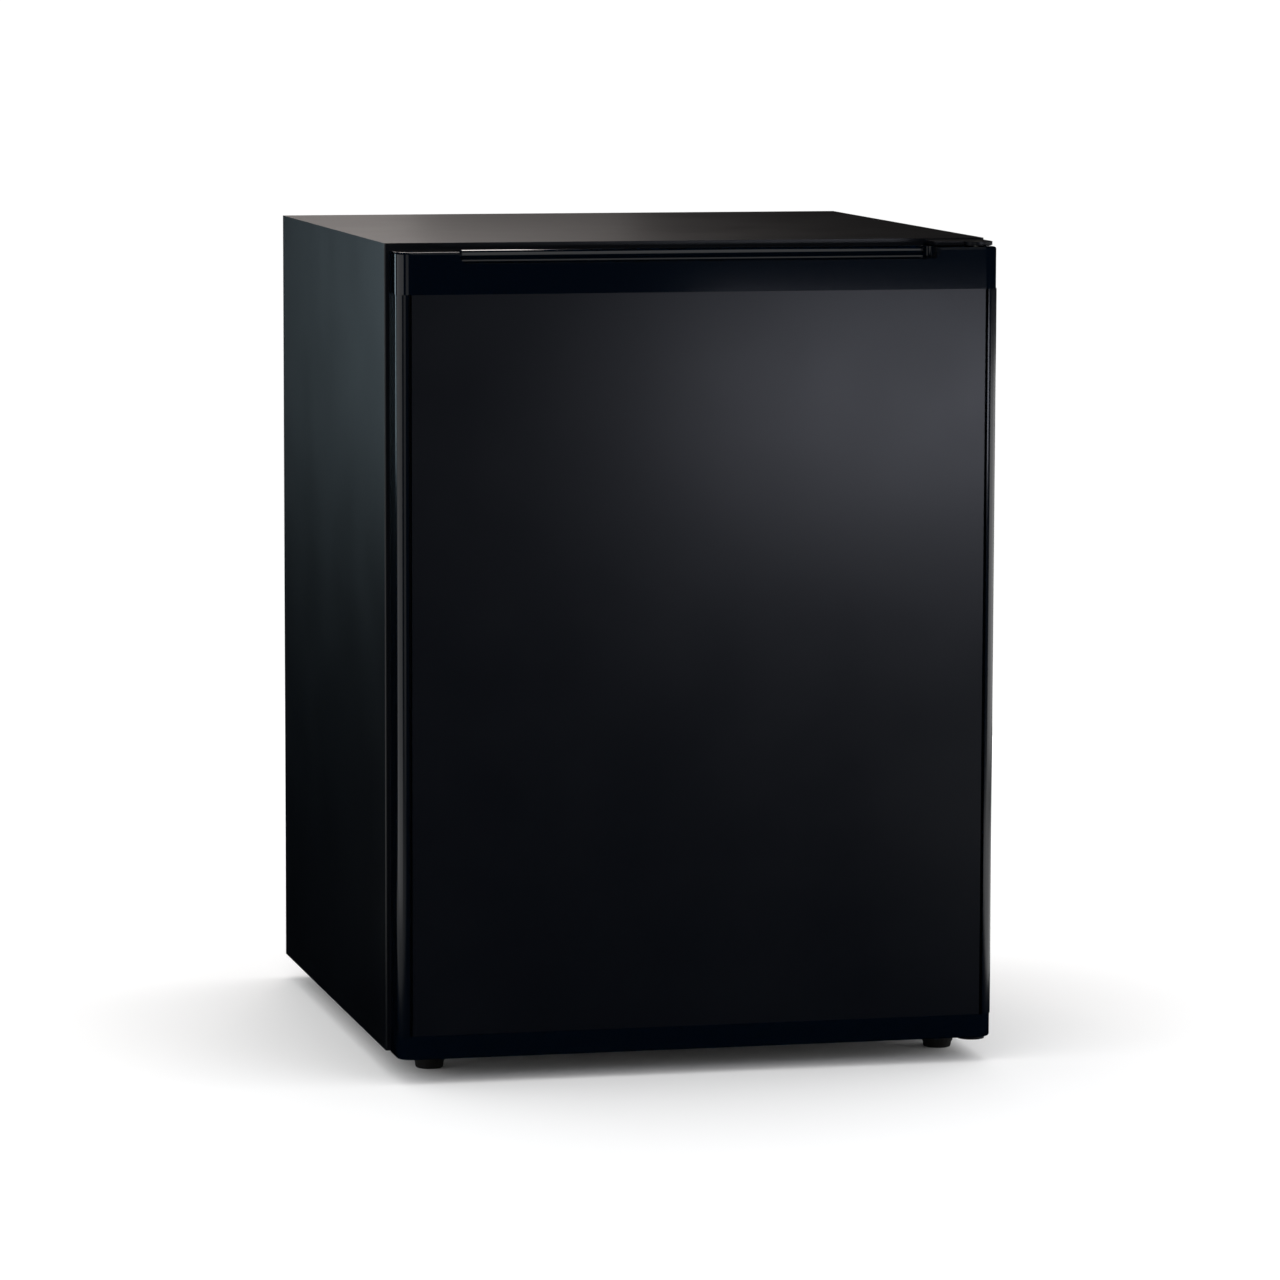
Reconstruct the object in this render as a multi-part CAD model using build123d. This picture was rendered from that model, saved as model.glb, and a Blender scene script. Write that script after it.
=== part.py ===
"""A small free-standing absorption fridge, built as an assembly of its real pieces.

Millimetres, +Z up. The front faces -Y, and the origin is on the floor, under the middle of the body.
Every piece is a function that returns its own solid, and the last section writes them all.
"""
from build123d import *
import os

# Cabinet sizes
CABINET_WIDTH = 400
CABINET_HEIGHT = 525
CABINET_DEPTH = 381
SHEET = 1.0
FOLD_RADIUS = 1.2
FRONT_FLANGE = 24
REAR_FLANGE = 14
SIDE_WALL = 35.5
CEILING_WALL = 34
FLOOR_WALL = 36
REAR_WALL = 32
REAR_BAY = 80
FOOT_HEIGHT = 16

# Inner liner
LINER_WALL = 1.8
LINER_RADIUS = 14
LINER_LIP = 20
LEDGE_WIDTH = 9
LEDGE_HEIGHT = 6
LEDGE_FRONT = 60
LOWER_SHELF_RISE = 147
UPPER_SHELF_RISE = 277

# Door
DOOR_THICKNESS = 34
DOOR_GAP = 6
DOOR_TOP_DROP = 4
DOOR_BOTTOM_RISE = 0.5
CAP_INSET = 1
TOP_CAP_HEIGHT = 27
BOTTOM_CAP_HEIGHT = 15.5
CAP_FRONT_RADIUS = 9.5
CAP_REAR_RADIUS = 5
CAP_EDGE_RADIUS = 1.5
CAP_WALL = 2.5
RAIL_INSET = 1
RAIL_BAR = 7.2
RAIL_RADIUS = 7
RAIL_FLANGE = 12
RAIL_WALL = 1.5
GROOVE_WIDTH = 2
GROOVE_DEPTH = 2.5
PANEL_SHEET = 1.0
PANEL_INSET = 0.5

# Finger recess in the top cap
RECESS_LENGTH = 318
RECESS_LIP_DROP = 7.5
RECESS_FRONT_WALL = 3
RECESS_WIDTH = 18
RECESS_DEPTH = 21
RECESS_BACK_RADIUS = 8
RECESS_END_RADIUS = 6

# Door liner, gasket and bins
DYKE_OUTER = 47
DYKE_WIDTH = 16
DYKE_DEPTH = 26
DYKE_BOTTOM_MARGIN = 24
DYKE_TOP_MARGIN = 16
DYKE_RADIUS = 4
GASKET_WIDTH = 14
GASKET_INSET = 10
GASKET_GAP = 0.5
GASKET_WALL = 1.5
MAGNET_WIDTH = 8
MAGNET_THICKNESS = 2.4
MAGNET_GAP = 1
BIN_DEPTH = 80
BIN_WALL = 2
BIN_CLEARANCE = 0.4
LOWER_BIN_GAP = 2
LOWER_BIN_HEIGHT = 80
UPPER_BIN_ABOVE_SHELF = 20
UPPER_BIN_HEIGHT = 60
PEG_LENGTH = 6
PEG_DEPTH = 12
PEG_HEIGHT = 14
PEG_DROP = 8
SOCKET_WALL = 2.5

# Hinges
HINGE_FROM_SIDE = 11
HINGE_PIN_RADIUS = 3
HINGE_FIT = 0.05
BUSH_WALL = 3
BUSH_LENGTH = 14
HINGE_PLATE = 2.5
HINGE_PLATE_TAIL = 76
HINGE_PLATE_RADIUS = 9
TOP_HINGE_PLATE_WIDTH = 39
HINGE_SCREW_RADIUS = 2.5
HINGE_SCREW_MARGIN = 12
HINGE_SCREW_PITCH = 20

# Feet
FOOT_RADIUS = 11
FOOT_BASE_RADIUS = 9
FOOT_FROM_SIDE = 33
FOOT_FROM_HINGE_SIDE = 21
FOOT_FROM_FRONT = 22
REAR_FOOT_FROM_BACK = 30
FOOT_STUD_RADIUS = 4
FOOT_STUD_SPARE = 4.5
FOOT_TRAVEL = 8
FOOT_FIT = 0.05
FOOT_NUT_RADIUS = 8
FOOT_NUT_HEIGHT = 6.5
FOOT_NUT_SIDES = 6

# Wire shelves
SHELF_ROD = 2.5
SHELF_WIRE = 1.5
SHELF_SIDE_GAP = 2
SHELF_FRONT = 85
SHELF_BACK_GAP = 7
SHELF_SEAT_GAP = 0.3
SHELF_CORNER = 12
SHELF_WIRE_COUNT = 15

# Evaporator, drip tray and drain
EVAPORATOR_WIDTH = 220
EVAPORATOR_HEIGHT = 75
EVAPORATOR_DEPTH = 38
EVAPORATOR_DROP = 33
EVAPORATOR_BASE = 4
EVAPORATOR_FIN = 1.4
EVAPORATOR_FIN_COUNT = 23
EVAPORATOR_BOSS_WIDTH = 120
EVAPORATOR_BOSS_HEIGHT = 26
EVAPORATOR_TUBE_DEPTH = 13
TRAY_MARGIN = 5
TRAY_HEIGHT = 16
TRAY_DROP = 8
TRAY_WALL = 2
DRAIN_RADIUS = 5
DRAIN_BORE = 3.5
DRAIN_RISE = 7
DRAIN_STAND_OFF = 20
DRAIN_BEND = 14

# Control housing, lamp and door switch
HOUSING_WIDTH = 150
HOUSING_DEPTH = 90
HOUSING_HEIGHT = 25
HOUSING_WALL = 2
HOUSING_FRONT = 110
HOUSING_CORNER = 4
KNOB_RADIUS = 9.5
KNOB_LENGTH = 11
KNOB_GAP = 0.4
KNOB_FROM_MIDDLE = 45
KNOB_FLUTES = 18
KNOB_FLUTE_RADIUS = 0.8
KNOB_SHAFT_RADIUS = 3
KNOB_SHAFT_LENGTH = 7
KNOB_SHAFT_FIT = 0.05
THERMOSTAT_WIDTH = 30
THERMOSTAT_DEPTH = 24
LENS_WIDTH = 70
LENS_DEPTH = 40
LENS_THICKNESS = 3
LENS_FROM_MIDDLE = -25
LAMP_BOARD = 1.6
LAMP_BOARD_MARGIN = 6
PLUNGER_RADIUS = 3
PLUNGER_FIT = 0.1
PLUNGER_FROM_MIDDLE = -120
PLUNGER_RISE = 5
PLUNGER_HEAD = 4.5
PLUNGER_TRAVEL = 4
PLUNGER_GAP = 0.4
SWITCH_WIDTH = 18
SWITCH_DEPTH = 26
SWITCH_HEIGHT = 14
SWITCH_WALL = 1.5

# Cooling unit
TUBE_WALL = 1.5
BOILER_RADIUS = 11
BOILER_FROM_SIDE = 68
BOILER_JACKET_WIDTH = 70
BOILER_JACKET_DEPTH = 74
BOILER_JACKET_HEIGHT = 240
BOILER_JACKET_RISE = 82
BOILER_JACKET_WALL = 1
BOILER_JACKET_CORNER = 12
BOILER_JACKET_SHIFT = 7
BOILER_RISER = 45
HEATER_RADIUS = 6.5
HEATER_LENGTH = 150
HEATER_GAP = 0.3
CONDENSER_RADIUS = 9
CONDENSER_DROP = 38
CONDENSER_BEND = 20
CONDENSER_FIN_SIDE = 52
CONDENSER_FIN = 0.8
CONDENSER_FIN_COUNT = 15
CONDENSER_FIN_PITCH = 10.5
FIN_FIT = 0.1
EVAPORATOR_TUBE_RADIUS = 8
EVAPORATOR_TUBE_BEND = 18
EVAPORATOR_TUBE_SPAN = 190
EVAPORATOR_TUBE_LEG = 28
TUBE_HOLE_GAP = 0.5
COIL_RADIUS = 9
COIL_RUNS = 7
COIL_LEFT = 50
COIL_RIGHT = 105
COIL_TAIL = 85
COIL_TOP_DROP = 80
COIL_ABOVE_VESSEL = 36
COIL_BEND_SPARE = 0.5
VESSEL_RADIUS = 26
VESSEL_RISE = 67
VESSEL_LEFT = 60
VESSEL_RIGHT = 120
VESSEL_STUB = 6
VESSEL_END_RADIUS = 7
SADDLE_SHEET = 3
SADDLE_WIDTH = 40
SADDLE_FIRST = -40
SADDLE_SECOND = 108
BRACKET_SHEET = 3
BRACKET_FIRST = -20
BRACKET_SECOND = 62
BRACKET_FOOT = 16
BRACKET_MARGIN = 14
LIQUID_TUBE_RADIUS = 7
LIQUID_TUBE_DROP = 8
LIQUID_TUBE_BEND = 20
DISH_LEFT = 50
DISH_RIGHT = 68
DISH_DEPTH = 60
DISH_HEIGHT = 18
DISH_WALL = 2
DISH_LIFT = 2
SCREW_RADIUS = 2
SCREW_HEAD_RADIUS = 4
SCREW_HEAD_HEIGHT = 2.5
SCREW_LENGTH = 8

# Electronics
ELECTRONICS_WIDTH = 56
ELECTRONICS_DEPTH = 68
ELECTRONICS_HEIGHT = 140
ELECTRONICS_RISE = 178
ELECTRONICS_WALL = 2
ELECTRONICS_SIDE_GAP = 3
COVER_THICKNESS = 2.5
BOARD_MARGIN = 6
BOARD_THICKNESS = 1.6
BOARD_POST = 8
BOARD_POST_RADIUS = 3
INLET_WIDTH = 28
INLET_HEIGHT = 20
INLET_DEPTH = 22
INLET_RIM = 3
INLET_RIM_DEPTH = 2
INLET_RISE = 30
INLET_SOCKET_MARGIN = 3
INLET_SOCKET_DEPTH = 16
INLET_PIN_RADIUS = 1.5
INLET_PIN_SPACING = 7
LEAD_RADIUS = 3
LEAD_BEND = 15
LEAD_STAND_OFF = 10
LEAD_FROM_BOILER = 7

# Levels and faces that follow from the sizes
half_width = CABINET_WIDTH / 2
inside = half_width - SHEET
door_front = -(CABINET_DEPTH + DOOR_GAP + DOOR_THICKNESS) / 2
door_back = door_front + DOOR_THICKNESS
cabinet_front = door_back + DOOR_GAP
cabinet_back = cabinet_front + CABINET_DEPTH
base_level = FOOT_HEIGHT
top_level = FOOT_HEIGHT + CABINET_HEIGHT
base_inner = base_level + SHEET
top_inner = top_level - SHEET
flange_back = cabinet_front + SHEET
flange_edge = half_width - FRONT_FLANGE

bay_front = cabinet_back - REAR_BAY
back_sheet_front = bay_front - SHEET
room_half = half_width - SIDE_WALL
room_floor = base_level + FLOOR_WALL
room_ceiling = top_level - CEILING_WALL
room_back = back_sheet_front - REAR_WALL
lower_shelf_level = room_floor + LOWER_SHELF_RISE
upper_shelf_level = room_floor + UPPER_SHELF_RISE
shelf_levels = (lower_shelf_level, upper_shelf_level)
foot_stud_top = base_inner + FOOT_NUT_HEIGHT + FOOT_TRAVEL + FOOT_STUD_SPARE

door_bottom = base_level + DOOR_BOTTOM_RISE
door_top = top_level - DOOR_TOP_DROP
panel_bottom = door_bottom + BOTTOM_CAP_HEIGHT
panel_top = door_top - TOP_CAP_HEIGHT
cap_half = half_width - CAP_INSET
rail_half = half_width - RAIL_INSET
rail_inner = rail_half - RAIL_BAR
panel_half = rail_inner - GROOVE_WIDTH
panel_face = door_front + PANEL_INSET
panel_back = panel_face + PANEL_SHEET
liner_half = rail_inner - RAIL_FLANGE
dyke_outer = half_width - DYKE_OUTER
dyke_inner = dyke_outer - DYKE_WIDTH
dyke_bottom = panel_bottom + DYKE_BOTTOM_MARGIN
dyke_top = panel_top - DYKE_TOP_MARGIN
dyke_back = door_back + DYKE_DEPTH
lower_bin_bottom = dyke_bottom + DYKE_WIDTH + LOWER_BIN_GAP
lower_bin_top = lower_bin_bottom + LOWER_BIN_HEIGHT
upper_bin_bottom = upper_shelf_level + UPPER_BIN_ABOVE_SHELF
upper_bin_top = upper_bin_bottom + UPPER_BIN_HEIGHT

hinge_x = half_width - HINGE_FROM_SIDE
hinge_y = (door_front + door_back) / 2
bush_radius = HINGE_PIN_RADIUS + HINGE_FIT + BUSH_WALL
top_plate_inner = inside - TOP_HINGE_PLATE_WIDTH
foot_x = half_width - FOOT_FROM_SIDE
hinge_foot_x = half_width - FOOT_FROM_HINGE_SIDE

unit_y = (bay_front + cabinet_back) / 2
evaporator_top = room_ceiling - EVAPORATOR_DROP
evaporator_bottom = evaporator_top - EVAPORATOR_HEIGHT
evaporator_middle = (evaporator_top + evaporator_bottom) / 2
evaporator_tube_y = room_back + EVAPORATOR_TUBE_DEPTH
evaporator_tube_half = EVAPORATOR_TUBE_SPAN / 2
tray_top = evaporator_bottom - TRAY_DROP
drain_level = tray_top - TRAY_HEIGHT + DRAIN_RISE
drain_y = bay_front + DRAIN_STAND_OFF
boiler_x = -(half_width - BOILER_FROM_SIDE)
jacket_bottom = base_inner + BOILER_JACKET_RISE
jacket_top = jacket_bottom + BOILER_JACKET_HEIGHT
jacket_left = boiler_x + BOILER_JACKET_SHIFT - BOILER_JACKET_WIDTH / 2
jacket_right = jacket_left + BOILER_JACKET_WIDTH
jacket_back = bay_front + BOILER_JACKET_DEPTH
riser_top = jacket_top + BOILER_RISER
boiler_bottom = jacket_bottom + 2 * BOILER_JACKET_WALL
heater_x = boiler_x + BOILER_RADIUS + HEATER_RADIUS + HEATER_GAP
vessel_level = base_inner + VESSEL_RISE
condenser_level = top_inner - CONDENSER_DROP
coil_top = evaporator_middle - COIL_TOP_DROP
coil_bottom = vessel_level + VESSEL_RADIUS + COIL_ABOVE_VESSEL
coil_pitch = (coil_top - coil_bottom) / (COIL_RUNS - 1)
coil_levels = [coil_bottom + coil_pitch * run for run in range(COIL_RUNS)]
stub_top = vessel_level + VESSEL_RADIUS + VESSEL_STUB
dish_bottom = vessel_level + VESSEL_RADIUS + DISH_LIFT

electronics_right = inside - ELECTRONICS_SIDE_GAP
electronics_left = electronics_right - ELECTRONICS_WIDTH
electronics_bottom = base_inner + ELECTRONICS_RISE
electronics_top = electronics_bottom + ELECTRONICS_HEIGHT
electronics_back = bay_front + ELECTRONICS_DEPTH

housing_front = cabinet_front + HOUSING_FRONT
housing_back = housing_front + HOUSING_DEPTH
housing_bottom = room_ceiling - HOUSING_HEIGHT
housing_half = HOUSING_WIDTH / 2
knob_level = room_ceiling - HOUSING_HEIGHT / 2
plunger_level = room_ceiling + PLUNGER_RISE


# Shared shapes

def block(x, y, z):
    """A box between the low and high value on each axis."""
    middle = [(low + high) / 2 for low, high in (x, y, z)]
    size = [high - low for low, high in (x, y, z)]
    return Pos(*middle) * Box(*size)


def mirrored(low, high):
    """The two spans from low to high, on the left and on the right."""
    return ((-high, -low), (low, high))


def rod_x(x, y, z, radius):
    """A round bar along X, between the two values of x."""
    return Pos((x[0] + x[1]) / 2, y, z) * Rot(0, 90, 0) * Cylinder(radius, x[1] - x[0])


def rod_y(x, y, z, radius):
    """A round bar along Y, between the two values of y."""
    return Pos(x, (y[0] + y[1]) / 2, z) * Rot(90, 0, 0) * Cylinder(radius, y[1] - y[0])


def rod_z(x, y, z, radius):
    """A round bar along Z, between the two values of z."""
    return Pos(x, y, (z[0] + z[1]) / 2) * Cylinder(radius, z[1] - z[0])


def round_along(shape, axis, radius):
    """Rounds the edges of a shape that run along an axis."""
    return fillet(shape.edges().filter_by(axis), radius)


def bent_rod(points, bends, radius):
    """A round bar of straight runs joined by tangent arcs."""
    path = FilletPolyline(*points, radius=bends)
    return sweep(Plane(origin=path @ 0, z_dir=path % 0) * Circle(radius), path=path)


def bent_tube(points, bends, radius, wall):
    """A bent round bar with a bore that leaves the given wall."""
    return bent_rod(points, bends, radius) - bent_rod(points, bends, radius - wall)


def frame_ring(half, y, z, width):
    """A flat rectangular ring, as wide as given, inside the outer half width and levels."""
    outer = block((-half, half), y, z)
    hole = block((-half + width, half - width), y, (z[0] + width, z[1] - width))
    return outer - hole


def all_of(shapes):
    """Several separate solids as one group."""
    return Compound(children=list(shapes))


# Steel cabinet

def side_panel(side):
    """One folded side: a flat sheet with a wide front flange and a narrow rear flange."""
    low, high = sorted((side * inside, side * half_width))
    sheet = block((low, high), (cabinet_front, cabinet_back), (base_level, top_level))
    front = sorted((side * flange_edge, side * half_width))
    rear = sorted((side * (half_width - REAR_FLANGE), side * half_width))
    sheet += block(front, (cabinet_front, flange_back), (base_inner, top_inner))
    sheet += block(rear, (cabinet_back - SHEET, cabinet_back), (base_inner, top_inner))
    folds = sheet.edges().filter_by(Axis.Z).sort_by(Axis.X)
    folds = folds[:2] if side < 0 else folds[-2:]
    sheet = fillet(folds, FOLD_RADIUS)
    return sheet - top_hinge_slot()


def top_panel():
    """The folded top, let in between the two sides."""
    sheet = block((-inside, inside), (cabinet_front, cabinet_back), (top_inner, top_level))
    front = block((-flange_edge, flange_edge), (cabinet_front, flange_back),
                  (top_level - FRONT_FLANGE, top_inner))
    rear = half_width - REAR_FLANGE
    back = block((-rear, rear), (cabinet_back - SHEET, cabinet_back),
                 (top_level - REAR_FLANGE, top_inner))
    return sheet + front + back - top_hinge_slot()


def base_pan():
    """The folded floor of the cabinet, with holes for the feet and the hinge screws."""
    sheet = block((-inside, inside), (cabinet_front, cabinet_back), (base_level, base_inner))
    front = block((-flange_edge, flange_edge), (cabinet_front, flange_back),
                  (base_inner, base_level + FRONT_FLANGE))
    rear = half_width - REAR_FLANGE
    back = block((-rear, rear), (cabinet_back - SHEET, cabinet_back),
                 (base_inner, base_level + REAR_FLANGE))
    pan = sheet + front + back
    for x in front_foot_places():
        pan -= rod_z(x, front_foot_y(), (base_level, base_inner), FOOT_STUD_RADIUS + FOOT_FIT)
    for x, y in rear_foot_places():
        pan -= rod_z(x, y, (base_level, base_inner), SCREW_RADIUS)
    for y in hinge_screw_places():
        pan -= rod_z(hinge_x, y, (base_level, base_inner), HINGE_SCREW_RADIUS)
    return pan


def back_sheet():
    """The sheet that closes the insulation towards the rear bay."""
    sheet = block((-inside, inside), (back_sheet_front, bay_front), (base_inner, top_inner))
    for x in (-evaporator_tube_half, evaporator_tube_half):
        hole = EVAPORATOR_TUBE_RADIUS + TUBE_HOLE_GAP
        sheet -= rod_y(x, (back_sheet_front, bay_front), evaporator_middle, hole)
    sheet -= rod_y(0, (back_sheet_front, bay_front), drain_level, DRAIN_RADIUS + TUBE_HOLE_GAP)
    for x, z in bracket_screw_places():
        sheet -= rod_y(x, (back_sheet_front, bay_front), z, SCREW_RADIUS)
    return sheet


def room(growth):
    """The space of the food compartment, grown all round by an amount."""
    space = block((-room_half - growth, room_half + growth), (flange_back, room_back + growth),
                  (room_floor - growth, room_ceiling + growth))
    return round_along(space, Axis.Y, LINER_RADIUS + growth)


def inner_liner():
    """The moulded white tub with its lip behind the steel flanges and its shelf ledges."""
    reach = LINER_LIP + LINER_WALL
    lip = block((-room_half - reach, room_half + reach), (flange_back, flange_back + LINER_WALL),
                (room_floor - reach, room_ceiling + reach))
    tub = lip + room(LINER_WALL) - room(0)
    for level in shelf_levels:
        for span in mirrored(room_half - LEDGE_WIDTH, room_half + LINER_WALL / 2):
            tub += block(span, (cabinet_front + LEDGE_FRONT, room_back + LINER_WALL / 2),
                         (level - LEDGE_HEIGHT, level))
    tub -= evaporator_boss()
    tub -= rod_y(0, (room_back, room_back + LINER_WALL), drain_level, DRAIN_RADIUS)
    tub -= plunger_hole()
    return tub


def cabinet_foam():
    """The rigid foam that fills the cabinet's walls."""
    foam = block((-inside, inside), (flange_back, back_sheet_front), (base_inner, top_inner))
    foam -= room(LINER_WALL)
    reach = LINER_LIP + LINER_WALL
    foam -= block((-room_half - reach, room_half + reach), (flange_back, flange_back + LINER_WALL),
                  (room_floor - reach, room_ceiling + reach))
    foam -= evaporator_boss()
    foam -= bent_rod(evaporator_route(), EVAPORATOR_TUBE_BEND, EVAPORATOR_TUBE_RADIUS)
    foam -= rod_y(0, (room_back, back_sheet_front), drain_level, DRAIN_RADIUS)
    foam -= top_hinge_slot()
    foam -= switch_space()
    for x in front_foot_places():
        foam -= rod_z(x, front_foot_y(), (base_inner, foot_stud_top), FOOT_NUT_RADIUS)
    for y in hinge_screw_places():
        foam -= rod_z(hinge_x, y, (base_inner, base_inner + SCREW_LENGTH), HINGE_SCREW_RADIUS)
    for x, z in bracket_screw_places():
        foam -= rod_y(x, (bay_front - SCREW_LENGTH, back_sheet_front), z, SCREW_RADIUS)
    return foam


# Hinges

def hinge_screw_places():
    """Where the two screws of the bottom hinge plate stand, along Y."""
    last = cabinet_front + HINGE_PLATE_TAIL - HINGE_SCREW_MARGIN
    return (last - HINGE_SCREW_PITCH, last)


def top_hinge_slot():
    """The space of the top hinge plate, let in under the top panel."""
    return block((top_plate_inner, inside), (cabinet_front, cabinet_front + HINGE_PLATE_TAIL),
                 (top_inner - HINGE_PLATE, top_inner))


def top_hinge_plate():
    """A flat plate under the top panel that reaches out over the door cap."""
    level = (top_inner - HINGE_PLATE, top_inner)
    plate = block((top_plate_inner, inside), (hinge_y, cabinet_front + HINGE_PLATE_TAIL), level)
    plate += rod_z(hinge_x, hinge_y, level, HINGE_PLATE_RADIUS)
    return plate - rod_z(hinge_x, hinge_y, level, HINGE_PIN_RADIUS)


def top_hinge_pin():
    """The pin that is set in the top plate and hangs into the bush of the top cap."""
    return rod_z(hinge_x, hinge_y, (door_top - BUSH_LENGTH, top_inner), HINGE_PIN_RADIUS)


def bottom_hinge_plate():
    """A flat plate screwed under the base pan, which carries the door and the foot beside it."""
    level = (base_level - HINGE_PLATE, base_level)
    outer = hinge_x + HINGE_PLATE_RADIUS
    plate = block((hinge_x - HINGE_PLATE_RADIUS, outer), (hinge_y, cabinet_front), level)
    plate += block((hinge_foot_x - FOOT_RADIUS, outer), (cabinet_front, cabinet_front + HINGE_PLATE_TAIL), level)
    plate += rod_z(hinge_x, hinge_y, level, HINGE_PLATE_RADIUS)
    plate -= rod_z(hinge_x, hinge_y, level, HINGE_PIN_RADIUS)
    plate -= rod_z(hinge_foot_x, front_foot_y(), level, FOOT_STUD_RADIUS + FOOT_FIT)
    for y in hinge_screw_places():
        plate -= rod_z(hinge_x, y, level, HINGE_SCREW_RADIUS)
    return plate


def bottom_hinge_pin():
    """The pin that is set in the bottom plate and stands in the bush of the bottom cap."""
    return rod_z(hinge_x, hinge_y, (base_level - HINGE_PLATE, base_level + BUSH_LENGTH), HINGE_PIN_RADIUS)


def hinge_screws():
    """The two screws under the bottom hinge plate."""
    below = base_level - HINGE_PLATE
    screws = []
    for y in hinge_screw_places():
        screw = rod_z(hinge_x, y, (below, base_inner + SCREW_LENGTH), HINGE_SCREW_RADIUS)
        screws.append(screw + rod_z(hinge_x, y, (below - SCREW_HEAD_HEIGHT, below), 2 * HINGE_SCREW_RADIUS))
    return all_of(screws)


def hinge_bushes():
    """The two flanged nylon bushes in the door caps."""
    bore = HINGE_PIN_RADIUS + HINGE_FIT
    flange = bush_radius + BUSH_WALL / 2
    upper = rod_z(hinge_x, hinge_y, (door_top - BUSH_LENGTH, door_top), bush_radius)
    upper -= rod_z(hinge_x, hinge_y, (door_top - BUSH_LENGTH, door_top), bore)
    lower = rod_z(hinge_x, hinge_y, (base_level, door_bottom), flange)
    lower += rod_z(hinge_x, hinge_y, (base_level, door_bottom + BUSH_LENGTH), bush_radius)
    lower -= rod_z(hinge_x, hinge_y, (base_level, door_bottom + BUSH_LENGTH), bore)
    return all_of((upper, lower))


# Feet

def front_foot_places():
    """The two front feet, across the width; the right one goes through the hinge plate."""
    return (-foot_x, hinge_foot_x)


def front_foot_y():
    """How far forward the front feet stand."""
    return cabinet_front + FOOT_FROM_FRONT


def rear_foot_places():
    """The two rear feet."""
    y = cabinet_back - REAR_FOOT_FROM_BACK
    return [(-foot_x, y), (foot_x, y)]


def foot_pad(x, y, height):
    """A tapered round pad that stands on the floor."""
    pad = Cone(FOOT_BASE_RADIUS, FOOT_RADIUS, height)
    return Pos(x, y, height / 2) * pad


def front_foot(x, pad_height):
    """A levelling foot: a pad on a threaded stud."""
    y = front_foot_y()
    return foot_pad(x, y, pad_height) + rod_z(x, y, (pad_height, foot_stud_top), FOOT_STUD_RADIUS)


def foot_nuts():
    """The nuts on the base pan that the front feet screw into."""
    nuts = []
    for x in front_foot_places():
        y = front_foot_y()
        hexagon = RegularPolygon(FOOT_NUT_RADIUS, FOOT_NUT_SIDES)
        flats = Pos(x, y, base_inner) * extrude(hexagon, FOOT_NUT_HEIGHT)
        hole = rod_z(x, y, (base_inner, base_inner + FOOT_NUT_HEIGHT), FOOT_STUD_RADIUS + FOOT_FIT)
        nuts.append(flats - hole)
    return all_of(nuts)


def rear_feet():
    """The two fixed rear pads, each with its moulded-in screw."""
    feet = []
    for x, y in rear_foot_places():
        screw = rod_z(x, y, (base_level, base_inner + SCREW_LENGTH), SCREW_RADIUS)
        feet.append(foot_pad(x, y, FOOT_HEIGHT) + screw)
    return all_of(feet)


# Inside the food compartment

def wire_shelf(level):
    """A shelf of bent wire: a rounded frame with cross wires."""
    half = room_half - SHELF_SIDE_GAP - SHELF_ROD
    front = cabinet_front + SHELF_FRONT + SHELF_ROD
    back = room_back - SHELF_BACK_GAP - SHELF_ROD
    z = level + SHELF_SEAT_GAP + SHELF_ROD
    corners = [(-half, front, z), (half, front, z), (half, back, z), (-half, back, z)]
    path = FilletPolyline(*corners, radius=SHELF_CORNER, close=True)
    shelf = sweep(Plane(origin=path @ 0, z_dir=path % 0) * Circle(SHELF_ROD), path=path)
    step = 2 * half / (SHELF_WIRE_COUNT + 1)
    for index in range(SHELF_WIRE_COUNT):
        shelf += rod_y(-half + step * (index + 1), (front, back), z, SHELF_WIRE)
    return shelf


def evaporator_boss():
    """The part of the evaporator that passes through the liner to the cold tube."""
    half = EVAPORATOR_BOSS_WIDTH / 2
    tall = EVAPORATOR_BOSS_HEIGHT / 2
    boss = block((-half, half), (room_back, evaporator_tube_y),
                 (evaporator_middle - tall, evaporator_middle + tall))
    return boss - rod_x((-half, half), evaporator_tube_y, evaporator_middle, EVAPORATOR_TUBE_RADIUS)


def evaporator_block():
    """The finned aluminium block at the top of the back wall."""
    half = EVAPORATOR_WIDTH / 2
    level = (evaporator_bottom, evaporator_top)
    shape = block((-half, half), (room_back - EVAPORATOR_BASE, room_back), level)
    step = (EVAPORATOR_WIDTH - EVAPORATOR_FIN) / (EVAPORATOR_FIN_COUNT - 1)
    for index in range(EVAPORATOR_FIN_COUNT):
        left = -half + step * index
        shape += block((left, left + EVAPORATOR_FIN), (room_back - EVAPORATOR_DEPTH, room_back), level)
    return shape + evaporator_boss()


def drip_tray():
    """The gutter under the evaporator, open at the top, which leads to the drain."""
    half = EVAPORATOR_WIDTH / 2 + TRAY_MARGIN
    front = room_back - EVAPORATOR_DEPTH - TRAY_MARGIN
    level = (tray_top - TRAY_HEIGHT, tray_top)
    tray = block((-half, half), (front, room_back), level)
    tray = fillet(tray.edges().filter_by(Axis.X).group_by(Axis.Z)[0][:1], TRAY_WALL)
    tray -= block((-half + TRAY_WALL, half - TRAY_WALL), (front + TRAY_WALL, room_back - TRAY_WALL),
                  (level[0] + TRAY_WALL, level[1]))
    return tray - rod_y(0, (room_back - TRAY_WALL, room_back), drain_level, DRAIN_BORE)


def drain_tube():
    """The tube that takes the melt water through the back wall and down to the dish."""
    end = dish_bottom + DISH_HEIGHT / 2
    points = [(0, room_back, drain_level), (0, drain_y, drain_level), (0, drain_y, end)]
    return bent_tube(points, DRAIN_BEND, DRAIN_RADIUS, DRAIN_RADIUS - DRAIN_BORE)


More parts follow.
